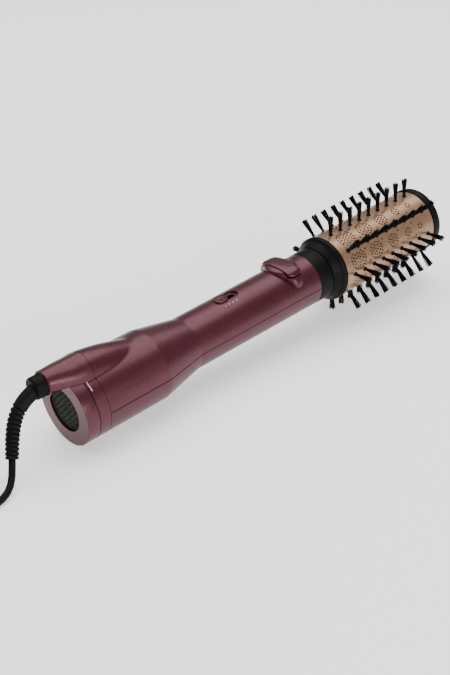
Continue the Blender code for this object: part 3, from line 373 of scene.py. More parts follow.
def joined(first, steps, bevel=0.0):
    """Apply Boolean steps to a solid, then an edge bevel, and give the result as a bmesh."""
    for operation, other in steps:
        cut = first.modifiers.new(other.name, "BOOLEAN")
        cut.operation = operation
        cut.solver = "EXACT"
        cut.object = other
    if bevel:
        edge = first.modifiers.new("edge", "BEVEL")
        edge.width = bevel
        edge.segments = 2
        edge.limit_method = "ANGLE"
        edge.angle_limit = math.radians(50)
    bpy.context.view_layer.update()
    graph = bpy.context.evaluated_depsgraph_get()
    mesh = bpy.data.meshes.new_from_object(first.evaluated_get(graph))
    bm = bmesh.new()
    bm.from_mesh(mesh)
    for made in [first, *[other for _, other in steps]]:
        bpy.data.objects.remove(made)
    bpy.data.meshes.remove(mesh)
    return bm


def round_edges(bm, edges, offset, segments):
    bmesh.ops.bevel(bm, geom=edges, offset=offset, segments=segments, profile=0.5, affect="EDGES",
                    material=-1)


def extrude_up(bm, height):
    """Extrude flat faces upwards into a solid."""
    made = bmesh.ops.extrude_face_region(bm, geom=bm.faces[:])["geom"]
    top = [g for g in made if isinstance(g, bmesh.types.BMVert)]
    bmesh.ops.translate(bm, vec=(0.0, 0.0, height), verts=top)


def pill(length, width, low, high, x, dome=0.0):
    """A bar with two round ends, standing on low; dome insets its top edge."""
    bm = bmesh.new()
    half = (length - width) / 2
    bmesh.ops.create_circle(bm, cap_ends=True, segments=32, radius=width / 2)
    for v in bm.verts:
        v.co.x += half if v.co.x > 0 else -half
    bmesh.ops.translate(bm, vec=(x, 0.0, low), verts=bm.verts)
    extrude_up(bm, high - low)
    if dome:
        rim = [e for e in bm.edges if all(v.co.z > high - 0.01 for v in e.verts)]
        round_edges(bm, rim, dome, 3)
    return bm


def extrude_end(bm, end):
    """Extrude the end face of a bar; gives the new end face and its vertices."""
    geom = bmesh.ops.extrude_face_region(bm, geom=end)["geom"]
    made = [g for g in geom if isinstance(g, bmesh.types.BMFace)]
    inner = [f for f in end if f.is_valid and any(len(e.link_faces) > 2 for e in f.edges)]
    bmesh.ops.delete(bm, geom=inner, context="FACES_ONLY")
    return made, list({v for f in made for v in f.verts})


def smooth_line(points, spacing):
    """Points at even spacing on a smooth curve through the route's own points."""
    parts = 12
    route = [Vector(p) for p in points]
    route = [route[0] * 2 - route[1], *route, route[-1] * 2 - route[-2]]
    fine = []
    for a, b, c, d in zip(route, route[1:], route[2:], route[3:]):
        for i in range(parts):
            t = i / parts
            fine.append(0.5 * ((2 * b) + (c - a) * t + (2 * a - 5 * b + 4 * c - d) * t * t
                               + (3 * b - a - 3 * c + d) * t ** 3))
    fine.append(route[-2])
    length = sum((b - a).length for a, b in zip(fine, fine[1:]))
    count = max(2, round(length / spacing))
    made, run = [fine[0]], 0.0
    for a, b in zip(fine, fine[1:]):
        step = (b - a).length
        while len(made) < count and run + step >= length * len(made) / count:
            made.append(a.lerp(b, (length * len(made) / count - run) / step))
        run += step
    made.append(fine[-1])
    return made


# Cord: the free run, the coil that stores the rest, and the lead to the plug, in metres
CORD_R = 0.0024
CORD_ROUTE = [
    (-0.2162, -0.0094, 0.0161), (-0.2174, -0.0108, 0.0140), (-0.2187, -0.0123, 0.0120),
    (-0.2201, -0.0139, 0.0101), (-0.2216, -0.0156, 0.0084), (-0.2233, -0.0172, 0.0069),
    (-0.2251, -0.0187, 0.0056), (-0.2271, -0.0201, 0.0046), (-0.2293, -0.0213, 0.0038),
    (-0.2316, -0.0224, 0.0033), (-0.2341, -0.0233, 0.0029), (-0.2366, -0.0240, 0.0027),
    (-0.2392, -0.0245, 0.0026), (-0.2418, -0.0248, 0.0026), (-0.2444, -0.0249, 0.0026),
    (-0.2470, -0.0249, 0.0026), (-0.2496, -0.0248, 0.0026), (-0.2521, -0.0248, 0.0026),
    (-0.2546, -0.0247, 0.0026),
]
CORD_ARRIVAL = [(-0.2640, -0.0246, 0.0026), (-0.2715, -0.0246, 0.0026)]
COIL_CENTRE = (-0.2760, 0.0086)
TIE_ANGLE = 180.0
LEAD_ANGLE, LEAD_L, LEAD_INTO_PLUG, PLUG_CLEAR = 120.0, 0.0140, 0.0012, 0.0003

# Sizes of the plug and the coil, in millimetres
PLUG_L, PLUG_W, PLUG_T, PLUG_NECK_W, PLUG_PITCH = 35.0, 35.0, 13.7, 9.0, 18.6
# Turns wound so far, radius and height: one layer in, one out, one in, then over to the outside
WINDING = [(0.0, 33.2, 2.6), (0.2, 32.4, 2.5), (1.0, 28.4, 2.5), (2.0, 23.6, 2.5),
           (2.95, 19.0, 2.5), (3.2, 18.7, 6.0), (3.5, 19.2, 7.3), (4.2, 22.6, 7.4),
           (5.2, 27.4, 7.4), (6.2, 32.2, 7.4), (6.4, 33.0, 8.6), (6.7, 33.2, 12.0),
           (7.2, 31.4, 12.3), (8.1, 27.2, 12.3), (8.35, 26.4, 13.4), (8.55, 27.4, 16.9),
           (8.75, 33.0, 17.1), (8.92, 37.6, 16.4), (9.1, 38.7, 12.4), (9.3, 38.8, 8.2),
           (9.4167, 38.9, 6.85)]
START_ANGLE, TURN_STEPS = 270.0, 24
EASE, LOOSE = 0.35, 0.7


def coil_spot(angle, radius, height):
    """A point of the coil in metres, from an angle in radians and millimetres."""
    return Vector((COIL_CENTRE[0] + MM * radius * math.cos(angle),
                   COIL_CENTRE[1] + MM * radius * math.sin(angle), MM * height))


def winding_points():
    turns = [row[0] for row in WINDING]
    made = []
    for i in range(1, int(turns[-1] * TURN_STEPS) + 1):
        t = i / TURN_STEPS
        k = max(j for j in range(len(turns) - 1) if turns[j] <= t)
        share = (t - turns[k]) / (turns[k + 1] - turns[k])
        share = share * share * (3 - 2 * share) * EASE + share * (1 - EASE)
        radius = WINDING[k][1] + (WINDING[k + 1][1] - WINDING[k][1]) * share
        height = WINDING[k][2] + (WINDING[k + 1][2] - WINDING[k][2]) * share
        radius += LOOSE * min(1.0, t, (turns[-1] - t) * 4.0)
        made.append(coil_spot(math.radians(START_ANGLE - 360.0 * t), radius, height))
    return made


lead_turn = math.radians(LEAD_ANGLE)
heading = Vector((math.sin(lead_turn), -math.cos(lead_turn), 0.0))
lead_start = coil_spot(lead_turn, *WINDING[-1][1:])
lead_end = lead_start + heading * (LEAD_L + LEAD_INTO_PLUG)
route = [Vector(p) for p in CORD_ROUTE + CORD_ARRIVAL] + winding_points()[:-1]
route += [lead_start, lead_start.lerp(lead_end, 0.5), lead_end]
cord_line = smooth_line(route, 0.0035)
cord_curve = bpy.data.curves.new("power_cord", "CURVE")
cord_curve.dimensions = "3D"
cord_curve.bevel_depth = CORD_R
cord_curve.bevel_resolution = 4
cord_curve.use_fill_caps = True
spline = cord_curve.splines.new("POLY")
spline.points.add(len(cord_line) - 1)
for point, spot in zip(spline.points, cord_line):
    point.co = (*spot, 1.0)
spline.use_smooth = True
cord_curve.materials.append(rubber.material)
power_cord = bpy.data.objects.new("power_cord", cord_curve)
bpy.context.scene.collection.objects.link(power_cord)
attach(power_cord, "handle")
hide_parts("cord", "cord_coil", "cord_lead")


def tie():
    """A strap round all the turns, with a lock block on top."""
    bm = box((27.2, 7.0, 15.4), (28.2, 0.0, 7.75))
    corners = [e for e in bm.edges if abs(e.verts[0].co.y - e.verts[1].co.y) > 1.0]
    round_edges(bm, corners, 4.2, 6)
    sides = [f for f in bm.faces if abs(f.normal.y) > 0.9]
    bmesh.ops.delete(bm, geom=sides, context="FACES_ONLY")
    bmesh.ops.solidify(bm, geom=bm.faces[:], thickness=0.9)
    lock = add_box(bm, (9.0, 8.4, 2.2), (28.0, 0.0, 16.3))
    round_edges(bm, list({e for v in lock for e in v.link_edges}), 0.7, 3)
    place = (Matrix.Translation((COIL_CENTRE[0], COIL_CENTRE[1], 0.0))
             @ Matrix.Rotation(math.radians(TIE_ANGLE), 4, "Z") @ Matrix.Scale(MM, 4))
    return keep(bm, "coil_tie", "handle", black, ("cord_tie",), to_row=place)


coil_tie = tie()


def plug():
    """A moulded plug: slim neck, then a flat body with rounded edges and finger grips."""
    bm = bmesh.new()
    half, neck = PLUG_W / 2, PLUG_NECK_W / 2
    outline = soften([(0.0, neck - 0.8), (9.8, neck), (17.0, neck + 5.6), (25.2, half - 0.8),
                      (27.0, half), (PLUG_L, half)], 2.5, 4)
    outline += [(x, -y) for x, y in outline[::-1]]
    bm.faces.new([bm.verts.new((x, y, -PLUG_T / 2)) for x, y in outline])
    extrude_up(bm, PLUG_T)
    rims = [e for e in bm.edges if abs(e.verts[0].co.z - e.verts[1].co.z) < 0.01
            and min(v.co.x for v in e.verts) < PLUG_L - 0.1]
    round_edges(bm, rims, 2.4, 5)
    body = solid(bm, "plug_solid")
    steps = []
    for i in range(4):
        for side in (-1, 1):
            cut = box((1.0, 13.0, 1.0), (21.0 + i * 2.6, 0.0, side * (PLUG_T / 2 + 0.05)))
            steps.append(("DIFFERENCE", solid(cut, f"grip_{i}_{side}")))
    for side in (-1, 1):
        cut = rod(31.3, 36.0, 2.3, 24, (side * PLUG_PITCH / 2, 0.0))
        steps.append(("DIFFERENCE", solid(cut, f"pin_socket_{side}")))
    bm = joined(body, steps, bevel=0.2)
    start = lead_start + heading * (LEAD_L + PLUG_CLEAR)
    place = (Matrix.Translation(start)
             @ Matrix.Rotation(math.atan2(heading.y, heading.x), 4, "Z") @ Matrix.Scale(MM, 4))
    return keep(bm, "moulded_plug", "handle", black, ("plug_body",), to_row=place)


moulded_plug = plug()


# Handle
def body_radius(x):
    for (x0, r0), (x1, r1) in zip(BODY_LINE, BODY_LINE[1:]):
        if x <= x1:
            return r0 + (r1 - r0) * (x - x0) / (x1 - x0)
    return NECK_FRONT_R


HUMP_LINE = smooth_line(HUMP, 0.5)


def hump_at(x):
    """The hump's centre line point at x, as x, height and radius."""
    for a, b in zip(HUMP_LINE, HUMP_LINE[1:]):
        if x <= b.x:
            return a.lerp(b, max(0.0, (x - a.x) / (b.x - a.x)))
    return HUMP_LINE[-1]


def skin_radius(x, angle):
    """The handle's outside, its turned body with the hump faired on; angle from the top."""
    here = body_radius(x)
    if x > HUMP_FADED or math.cos(angle) < 0.3:
        return here
    _, centre, radius = hump_at(min(x, HUMP_END))
    centre -= max(0.0, x - HUMP_END) * 0.35
    out = abs(centre * math.sin(angle))
    rise = math.sqrt(radius ** 2 - out ** 2) if out < radius else -3.0 * (out - radius)
    hump = centre * math.cos(angle) + rise
    soft = 0.5 * (1.0 - max(0.0, min(1.0, (x - 66.0) / 13.0)))
    return (here + hump + math.sqrt((here - hump) ** 2 + soft ** 2)) / 2 - 0.02 * soft


def follow_skin(bm, over=0.0, least=None):
    """Move the outer vertices of a turned shape out to the handle's skin."""
    for v in bm.verts:
        r = math.hypot(v.co.y, v.co.z)
        if least is not None and r < least:
            continue
        angle = math.atan2(v.co.y, v.co.z)
        share = (skin_radius(v.co.x, angle) + over) / r
        v.co.y *= share
        v.co.z *= share


def around(angle, radius):
    turn = math.radians(angle)
    return (-radius * math.sin(turn), radius * math.cos(turn))


def half_shell(upper):
    """One half of the handle, as a thin wall with screw lugs; the upper one has the openings."""
    rear = CAP_END + GAP
    stations = [rear + 1.2 * i for i in range(43)] + [69.8, 70.05, 70.3]
    stations += [71.0 + 0.9 * i for i in range(12)]
    stations += [83.0, 88.0, 93.0, 98.0, 103.0, 103.3, 103.6, 103.9, 104.4, 112.0]
    stations += [120.0 + 10.0 * i for i in range(11)] + [HANDLE_END]
    parting = 0.7
    first = -90.0 + parting if upper else 90.0 + parting
    bm = turned([(x, BODY_R) for x in stations], 150, 180.0 - 2 * parting, first)
    follow_skin(bm)
    body = solid(bm, "half")
    wall = body.modifiers.new("wall", "SOLIDIFY")
    wall.thickness = WALL
    wall.offset = -1.0
    steps = []
    for i, angle in enumerate((55.0, -55.0, 125.0, -125.0)):
        if (abs(angle) < 90.0) == upper:
            place = around(angle, BODY_R - WALL - 2.6)
            lug = rod(rear + 0.5, rear + 8.0, 3.0, 24, place)
            pilot = rod(rear - 1.0, rear + 7.0, 1.5, 16, place)
            steps += [("UNION", solid(lug, f"lug_{i}")), ("DIFFERENCE", solid(pilot, f"pilot_{i}"))]
    if upper:
        middle = SLOT_START + SLOT_L / 2
        recess = pill(SLOT_L, SLOT_W, SLOT_FLOOR, 30.0, middle)
        steps += [("DIFFERENCE", solid(recess, "slot_recess")),
                  ("DIFFERENCE", solid(pill(16.0, 3.8, 10.0, 30.0, middle), "stem_slot")),
                  ("DIFFERENCE", solid(box((9.2, 12.4, 12.0), (ROCKER_X, 0.0, 20.0)),
                                       "rocker_opening"))]
    bm = joined(body, steps, bevel=0.22)
    name = "upper_shell" if upper else "lower_shell"
    return keep(bm, f"{name}_skin", "handle", burgundy, (name,), 40.0)


def hump_tail():
    """The hump's rear end as a lofted bar with a rounded end."""
    stations = [(-12.6, 8.2), (-12.45, 8.55), (-12.1, 8.75), (-11.5, 8.82)]
    stations += [(x, None) for x in range(-10, 18)]
    bm = bmesh.new()
    bmesh.ops.create_circle(bm, cap_ends=True, segments=96, radius=1.0)
    sideways = Matrix.Rotation(math.radians(90), 3, "Y")
    bmesh.ops.rotate(bm, cent=(0, 0, 0), matrix=sideways, verts=bm.verts)
    end = bm.faces[:]
    for i, (x, given) in enumerate(stations):
        _, centre, radius = hump_at(x)
        radius = given or radius
        ring = bm.verts[:]
        if i:
            end, ring = extrude_end(bm, end)
        now = sum((v.co for v in ring), Vector()) / len(ring)
        size = (ring[0].co - now).length
        for v in ring:
            v.co = Vector((x, 0.0, centre)) + (v.co - now) * (radius / size)
    return bm


def rear_band():
    """The band behind the shells, with the hump's tail and the bore for the cord's swivel."""
    start = RING_END + GAP
    xs = [start + i * 0.7 for i in range(12)] + [CAP_END]
    bm = turned([(start, 0.0), *[(x, BODY_R) for x in xs], (CAP_END, 0.0)], 192)
    follow_skin(bm, least=BODY_R - 1.0)
    body = solid(bm, "band")
    axle = (0.0, TAIL_Z)
    tail = solid(hump_tail(), "tail")
    room = solid(rod(-22.0, start + 0.02, BODY_R + GAP, 160), "room")
    tube = turned([(-12.5, 0.0), (-12.5, 8.3), (-12.0, TAIL_R), (CAP_END - 0.6, TAIL_R),
                   (CAP_END - 0.6, 0.0)], 90, centre=axle)
    tail = joined(tail, [("DIFFERENCE", room), ("UNION", solid(tube, "tail_tube"))])
    bm = joined(body, [
        ("DIFFERENCE", solid(rod(5.0, CAP_END - 2.4, BODY_R - WALL, 128), "hollow")),
        ("UNION", solid(tail, "tail_done")),
        ("DIFFERENCE", solid(rod(0.0, 20.0, SEAT_R, 96), "inner")),
        ("DIFFERENCE", solid(rod(-15.0, 2.0, TAIL_BORE_R, 64, axle), "bore")),
        ("DIFFERENCE", solid(rod(1.0, 24.0, 5.0, 48, axle), "stem")),
    ], bevel=0.2)
    return keep(bm, "rear_band", "handle", burgundy, ("rear_cap",), 40.0)


def filter_ring():
    """The pull-off ring: flat face, rounded rim, seat for the grille and a spigot."""
    opening, spigot, inner, lip = 15.8, 23.7, 21.9, 1.75
    rim = [(0.0, opening), (0.0, FACE_R), (0.0, BODY_R), (RING_END, BODY_R), (RING_END, spigot),
           (RING_END + 3.7, spigot), (RING_END + 3.7, inner), (RING_END, inner),
           (RING_END - 2.0, SEAT_R), (lip, SEAT_R), (lip, opening), (0.0, opening)]
    body = solid(turned(soften(rim, 0.55, 4)[:-1], 160, closed=True), "ring")
    notch = solid(rod(-6.0, 19.0, TAIL_R + GAP, 90, (0.0, TAIL_Z)), "notch")
    bm = joined(body, [("DIFFERENCE", notch)], bevel=0.15)
    return keep(bm, "intake_ring", "filter", burgundy, ("filter_ring",), 35.0)


def strand(bm, points, radius, sides):
    """Extrude a small circle along points."""
    ring = bmesh.ops.create_circle(bm, cap_ends=True, segments=sides, radius=radius)["verts"]
    end = list({f for v in ring for f in v.link_faces})
    facing = Vector((0, 0, 1))
    before = Vector()
    for i, point in enumerate(points):
        along = (points[min(i + 1, len(points) - 1)] - points[max(i - 1, 0)]).normalized()
        turn = facing.rotation_difference(along).to_matrix()
        if i:
            end, ring = extrude_end(bm, end)
        bmesh.ops.rotate(bm, cent=before, matrix=turn, verts=ring)
        bmesh.ops.translate(bm, vec=point - before, verts=ring)
        facing, before = along, point


def woven_grille():
    """Black wires woven over and under each other, in a thin rim."""
    rim = soften([(2.05, 16.7), (2.05, 15.0), (3.0, 15.0), (3.0, 16.7), (2.05, 16.7)], 0.2, 2)
    bm = turned(rim[:-1], 96, closed=True)
    pitch, reach, seat, middle, wire_r, weave = 2.3, 7, 15.4, 2.5, 0.56, 0.5
    for across in (0, 1):
        for i in range(-reach, reach + 1):
            offset = i * pitch
            if abs(offset) > seat - 0.6:
                continue
            half = math.sqrt(seat ** 2 - offset ** 2)
            count = max(4, int(4 * half / pitch))
            points = []
            for k in range(count + 1):
                s = -half + 2 * half * k / count
                wave = weave * math.cos(math.pi * s / pitch) * (1 if (i + across) % 2 else -1)
                x = middle + wave
                points.append(Vector((x, offset, s)) if across else Vector((x, s, offset)))
            strand(bm, points, wire_r, 6)
    return keep(bm, "woven_grille", "filter", grille_black, ("intake_grille",),
                50.0)


def swivel_barrel():
    outline = soften([(-20.6, 0.0), (-20.6, 7.8), (1.7, 7.8), (1.7, 4.6), (21.7, 4.6),
                      (21.7, 0.0)], 2.0, 6)
    bm = turned(outline, 72, centre=(0.0, TAIL_Z))
    return keep(bm, "swivel_barrel", "cord_swivel", black, ("cord_swivel",), 40.0)


SLEEVE_ROUTE = [(-15.5, 0.0, 26.2), (-19.5, 0.0, 25.3), (-23.8, 0.0, 23.8), (-28.6, -0.3, 21.4),
                (-33.7, -1.0, 17.6), (-38.0, -2.0, 12.2), (-41.6, -3.5, 5.6), (-44.8, -5.6, -1.1),
                (-48.6, -9.4, -7.1)]


def ribbed_sleeve():
    """The bend sleeve: smooth where it leaves the swivel, then ribs cut by slits on two sides."""
    spacing = 0.5
    line = smooth_line(SLEEVE_ROUTE, spacing)
    bm = bmesh.new()
    strand(bm, line, 1.0, 40)
    side = Vector((0, 1, 0))
    frames = []
    for i, point in enumerate(line):
        along = (line[min(i + 1, len(line) - 1)] - line[max(0, i - 1)]).normalized()
        side = (side - along * side.dot(along)).normalized()
        frames.append((point, along, side))
    smooth_end, pitch, total = 16.0, 3.0, spacing * len(line)
    for v in bm.verts:
        k = min(range(len(line)), key=lambda n: (line[n] - v.co).length_squared)
        point, along, side = frames[k]
        out = (v.co - point) - along * (v.co - point).dot(along)
        out.normalize()
        run = spacing * k
        radius = 5.2 - 0.9 * run / total
        if run > smooth_end:
            phase = ((run - smooth_end) % pitch) / pitch
            rib = 0.5 + 0.5 * math.cos(2 * math.pi * (phase - 0.5))
            rib = max(0.0, min(1.0, (rib - 0.06) / 0.22))
            flank = abs(out.dot(side))
            radius += 0.1 * rib - 1.5 * (1 - rib) * max(0.2, min(1.0, (flank - 0.2) / 0.4))
        if run < 6.0:
            radius = min(radius, 4.4 + 0.2 * run)
        v.co = point + out * radius
    tip = [v for v in bm.verts if (v.co - line[-1]).dot(frames[-1][1]) > -0.1]
    bmesh.ops.scale(bm, vec=(0.86, 0.86, 0.86), space=Matrix.Translation(-line[-1]), verts=tip)
    return keep(bm, "ribbed_sleeve", "cord_swivel", rubber, ("strain_relief",), 60.0)


def seam_mark():
    """A short pale mark across the band, under the hump."""
    bm = turned([(11.1 + 0.12 * i, BODY_R) for i in range(7)], 16, 15.0, 31.5)
    follow_skin(bm, 0.03)
    return keep(bm, "seam_mark", "handle", print_grey)


half_shell(True)
half_shell(False)
rear_band()
filter_ring()
woven_grille()
swivel_barrel()
ribbed_sleeve()
seam_mark()


# Controls
def knob():
    """Slide knob: rounded pill with a raised rim, a dished top and two finger dimples."""
    x = SLOT_START + 0.5 + KNOB_L / 2
    body = solid(pill(KNOB_L, KNOB_W, KNOB_LOW, KNOB_LOW + 2.3, x, 0.5), "knob")
    dish = solid(pill(8.9, 6.5, KNOB_LOW + 1.75, KNOB_LOW + 5.0, x), "dish")
    steps = [("DIFFERENCE", dish)]
    for side in (-1, 1):
        ball = bmesh.new()
        bmesh.ops.create_uvsphere(ball, u_segments=24, v_segments=14, radius=1.7)
        bmesh.ops.translate(ball, vec=(x + side * 2.1, 0.0, KNOB_LOW + 2.75), verts=ball.verts)
        steps.append(("DIFFERENCE", solid(ball, f"dimple_{side}")))
    bm = joined(body, steps, bevel=0.15)
    return keep(bm, "slide_knob", "speed_switch", burgundy, ("switch_knob",))


def speed_marks():
    """Four small printed marks beside the slot."""
    for i, x in enumerate((138.6, 142.2, 145.9, 149.5)):
        long = 0.34 + 0.1 * i
        outer = NECK_R + 0.2
        bm = turned([(x - long, outer), (x, outer), (x + long, outer)], 4, 2.4, 20.4)
        follow_skin(bm, 0.03)
        keep(bm, f"speed_mark_{i + 1}", "handle", print_grey)


def saddle_height(share):
    """Height of the saddle over its base, at a share of its arc from the middle."""
    s = abs(share)
    if s < 0.62:
        return 2.4 + 1.9 * 0.5 * (1 - math.cos(math.pi * s / 0.62))
    return 4.3 * math.sqrt(max(0.0, 1 - ((s - 0.62) / 0.40) ** 2))


def button_half_width(share):
    end = max(0.0, (abs(share) - 0.74) / 0.26)
    return 6.3 * math.sqrt(max(0.12, 1 - 0.88 * end ** 2.2))


def saddle_form(arcs, steps, width, top, bottom, half_arc):
    """A bar bent over the handle.

    Width is a function of the share s along the arc; top and bottom are radii, functions of
    the share u across and of s.
    """
    bm = bmesh.new()
    bmesh.ops.create_grid(bm, x_segments=steps, y_segments=arcs, size=1.0)
    count = len(bm.verts)
    bmesh.ops.extrude_face_region(bm, geom=bm.faces[:], use_keep_orig=True)
    bm.verts.index_update()
    for v in bm.verts:
        u, s = v.co.x, v.co.y
        y, z = around(s * half_arc, top(u, s) if v.index < count else bottom(u, s))
        v.co = Vector((ROCKER_X + u * width(s), y, z))
    return bm


def bezel():
    """The saddle with two raised ends, open in the middle for the rocker."""
    def rise(u, s):
        crown = max(0.0, 1 - abs(u) ** 3.2) ** 0.45
        return SADDLE_BASE + 0.08 + max(0.3, saddle_height(s * 0.985)) * crown

    def half_width(s):
        waist = 4.8 + 3.4 * (1 + math.cos(math.pi * min(1.0, abs(s) / 0.95)))
        return waist * math.sqrt(1 - 0.8 * (max(0.0, abs(s) - 0.8) / 0.2) ** 2)

    saddle = saddle_form(88, 30, half_width, rise, lambda u, s: SADDLE_BASE + 0.03, SADDLE_ARC)
    window = saddle_form(48, 12, lambda s: button_half_width(s) + 0.55, lambda u, s: 40.0,
                         lambda u, s: 12.0, WINDOW_ARC)
    bm = joined(solid(saddle, "saddle"), [("DIFFERENCE", solid(window, "window"))], bevel=0.3)
    return keep(bm, "rocker_saddle", "handle", burgundy, ("rocker_bezel",), 38.0)


def rocker():
    """The rocker's two pads, each crowned, with a thin curved relief line."""
    def top(u, s):
        rise = saddle_height(s * PAD_ARC / SADDLE_SPAN)
        edge = 1 - 0.55 * max(0.0, abs(s) - 0.8) / 0.2
        inside = 0.3 < abs(s) < 0.8
        dish = 0.12 * math.cos(math.pi * (abs(s) - 0.55) / 0.5) if inside else 0.0
        return SADDLE_BASE + rise + 1.3 * edge - 0.75 * abs(u) ** 3.5 - dish

    def bottom(u, s):
        under = SADDLE_BASE + saddle_height(s * PAD_ARC / SADDLE_SPAN) - 0.2
        return min(NECK_FRONT_R + 1.8 + 1.14 * abs(s), under)

    body = solid(saddle_form(64, 20, button_half_width, top, bottom, PAD_ARC), "pads")
    stem = solid(box((7.2, 3.8, 6.6), (ROCKER_X, 0.0, 19.4)), "rocker_stem")
    bore = solid(rod(190.0, 213.0, 0.9, 24, (0.0, 19.0)), "rocker_bore")
    steps = [("UNION", stem), ("DIFFERENCE", bore)]
    for side in (-1, 1):
        points = []
        for k in range(13):
            turn = math.radians(-70 + 140 * k / 12)
            s = side * (0.56 - 0.14 * math.cos(turn))
            u = 0.36 * math.sin(turn)
            y, z = around(s * PAD_ARC, top(u, s) - 0.02)
            points.append(Vector((ROCKER_X + u * button_half_width(s), y, z)))
        line = bmesh.new()
        strand(line, points, 0.36, 8)
        steps.append(("DIFFERENCE", solid(line, f"relief_{side}")))
    bm = joined(body, steps, bevel=0.28)
    return keep(bm, "rocker_pads", "rocker", burgundy, ("rocker_button",), 38.0)


# Brush head
def front_collar():
    """The black collar that is fixed to the handle, with air ways in its inner wall."""
    profile = [(216.8, 15.5), (216.8, 17.6), (223.3, 17.6), (223.3, 20.2), (235.9, 20.4),
               (COLLAR_END, 19.8), (COLLAR_END, 16.5), (230.0, 16.5), (230.0, 4.4), (227.9, 4.4),
               (227.9, 15.5), (216.8, 15.5)]
    body = solid(turned(soften(profile, 0.45, 3)[:-1], 128, closed=True), "collar")
    ways = [solid(rod(225.0, 233.0, 3.6, 20, around(72.0 * i, 11.2)), f"air_{i}") for i in range(5)]
    bm = joined(body, [("DIFFERENCE", way) for way in ways])
    keep(bm, "front_collar_skin", "handle", black, ("front_collar",), 40.0)


def head_base():
    """The flared black base that turns with the barrel, with its own air ways."""
    start, end = HEAD_START, BARREL_START - GAP
    profile = [(start, 17.6), (start, 20.3), (start + 2.6, 21.6), (start + 5.5, 23.2),
               (end - 3.2, 25.2), (end - 1.4, 25.6), (end, 25.4), (end, 23.6), (end + 3.6, 23.6),
               (end + 3.6, 22.0), (start + 4.6, 22.0), (start + 4.6, 4.9), (start + 7.6, 4.9),
               (start + 7.6, 2.5), (start + 2.0, 2.5), (start + 2.0, 17.6), (start, 17.6)]
    body = solid(turned(soften(profile, 0.7, 4)[:-1], 144, closed=True), "base")
    ways = [solid(rod(start + 0.5, start + 9.0, 4.2, 20, around(15.0 + 72.0 * i, 12.0)),
                  f"flow_{i}") for i in range(5)]
    bm = joined(body, [("DIFFERENCE", way) for way in ways])
    keep(bm, "head_base_skin", "brush_head", black, ("head_base",), 40.0)


# Air holes of one panel: x of each round patch, then the radius and number of holes of its rings
PATCHES = [(261.8, ((0.0, 1), (2.45, 6), (4.9, 12), (7.3, 18))),
           (282.2, ((1.4, 3), (3.8, 9), (6.2, 15))),
           (301.9, ((0.0, 1), (2.45, 6), (4.8, 12))),
           (319.4, ((0.0, 1), (2.9, 8))),
           (334.0, ((2.0, 5),))]
AIR_HOLE_R, AIR_HOLE_SIDES = 0.82, 10
BOSS_HOLE_R, BOSS_HOLE_SIDES = 1.95, 18
BARREL_WALL = 1.0


def arc(degrees):
    """Distance round the barrel for an angle in degrees."""
    return math.radians(degrees) * BARREL_R


def panel_holes():
    """The holes of one panel: x, distance round the barrel, radius and number of sides."""
    middle = arc(22.5)
    air = []
    for x, rings in PATCHES:
        for k, (away, count) in enumerate(rings):
            for i in range(count):
                turn = math.tau * (i + 0.5 * (k % 2)) / count
                air.append((x + away * math.cos(turn), middle + away * math.sin(turn)))
    for (x0, _), (x1, _) in zip(PATCHES, PATCHES[1:]):
        air += [((x0 + x1) / 2 + side * 0.9, middle + side * 5.4) for side in (-1, 1)]
    return ([(x, s, AIR_HOLE_R, AIR_HOLE_SIDES) for x, s in air]
            + [(TUFT_START + i * TUFT_PITCH, arc(45.0), BOSS_HOLE_R, BOSS_HOLE_SIDES)
               for i in range(TUFTS)])


def spin_to(bm, row, verts):
    """Turn vertices at the top to where a row of bristles stands."""
    bmesh.ops.rotate(bm, cent=(0, 0, 0), matrix=Matrix.Rotation(math.tau * row / ROWS, 3, "X"),
                     verts=verts)


def perforated_barrel():
    """One panel is cut flat, bent round the axis, and repeated for each row."""
    first, last = arc(8.0), arc(53.0)
    bm = bmesh.new()
    bmesh.ops.create_grid(bm, x_segments=1, y_segments=18, size=0.5)
    bmesh.ops.scale(bm, vec=(BARREL_END - BARREL_START, last - first, 1.0), verts=bm.verts)
    middle = ((BARREL_END + BARREL_START) / 2, (last + first) / 2, 0.0)
    bmesh.ops.translate(bm, vec=middle, verts=bm.verts)
    down = bmesh.ops.extrude_face_region(bm, geom=bm.faces[:], use_keep_orig=True)["geom"]
    inner = [g for g in down if isinstance(g, bmesh.types.BMVert)]
    bmesh.ops.translate(bm, vec=(0, 0, -BARREL_WALL), verts=inner)
    punch = bmesh.new()
    for x, s, r, sides in panel_holes():
        made = bmesh.ops.create_cone(punch, cap_ends=True, segments=sides, radius1=r, radius2=r,
                                     depth=4.0)["verts"]
        bmesh.ops.translate(punch, vec=(x, s, -0.5), verts=made)
    bm = joined(solid(bm, "panel"), [("DIFFERENCE", solid(punch, "punch"))])
    ends = [f for f in bm.faces if any(all(abs(v.co.y - edge) < 0.001 for v in f.verts)
                                       for edge in (first, last))]
    bmesh.ops.delete(bm, geom=ends, context="FACES_ONLY")
    for v in bm.verts:
        angle, radius = v.co.y / BARREL_R, BARREL_R + v.co.z
        v.co.y, v.co.z = -radius * math.sin(angle), radius * math.cos(angle)
    panel = bm.verts[:] + bm.edges[:] + bm.faces[:]
    for row in range(1, ROWS):
        copy = bmesh.ops.duplicate(bm, geom=panel)["geom"]
        spin_to(bm, row, [g for g in copy if isinstance(g, bmesh.types.BMVert)])
    return keep(bm, "perforated_barrel", "brush_head", rose_gold, ("barrel",), 30.0)


# Radius and height of the boss that each tuft stands in
BOSS = [(1.6, 22.9), (1.6, 25.35), (1.35, 25.9), (1.05, 26.2)]


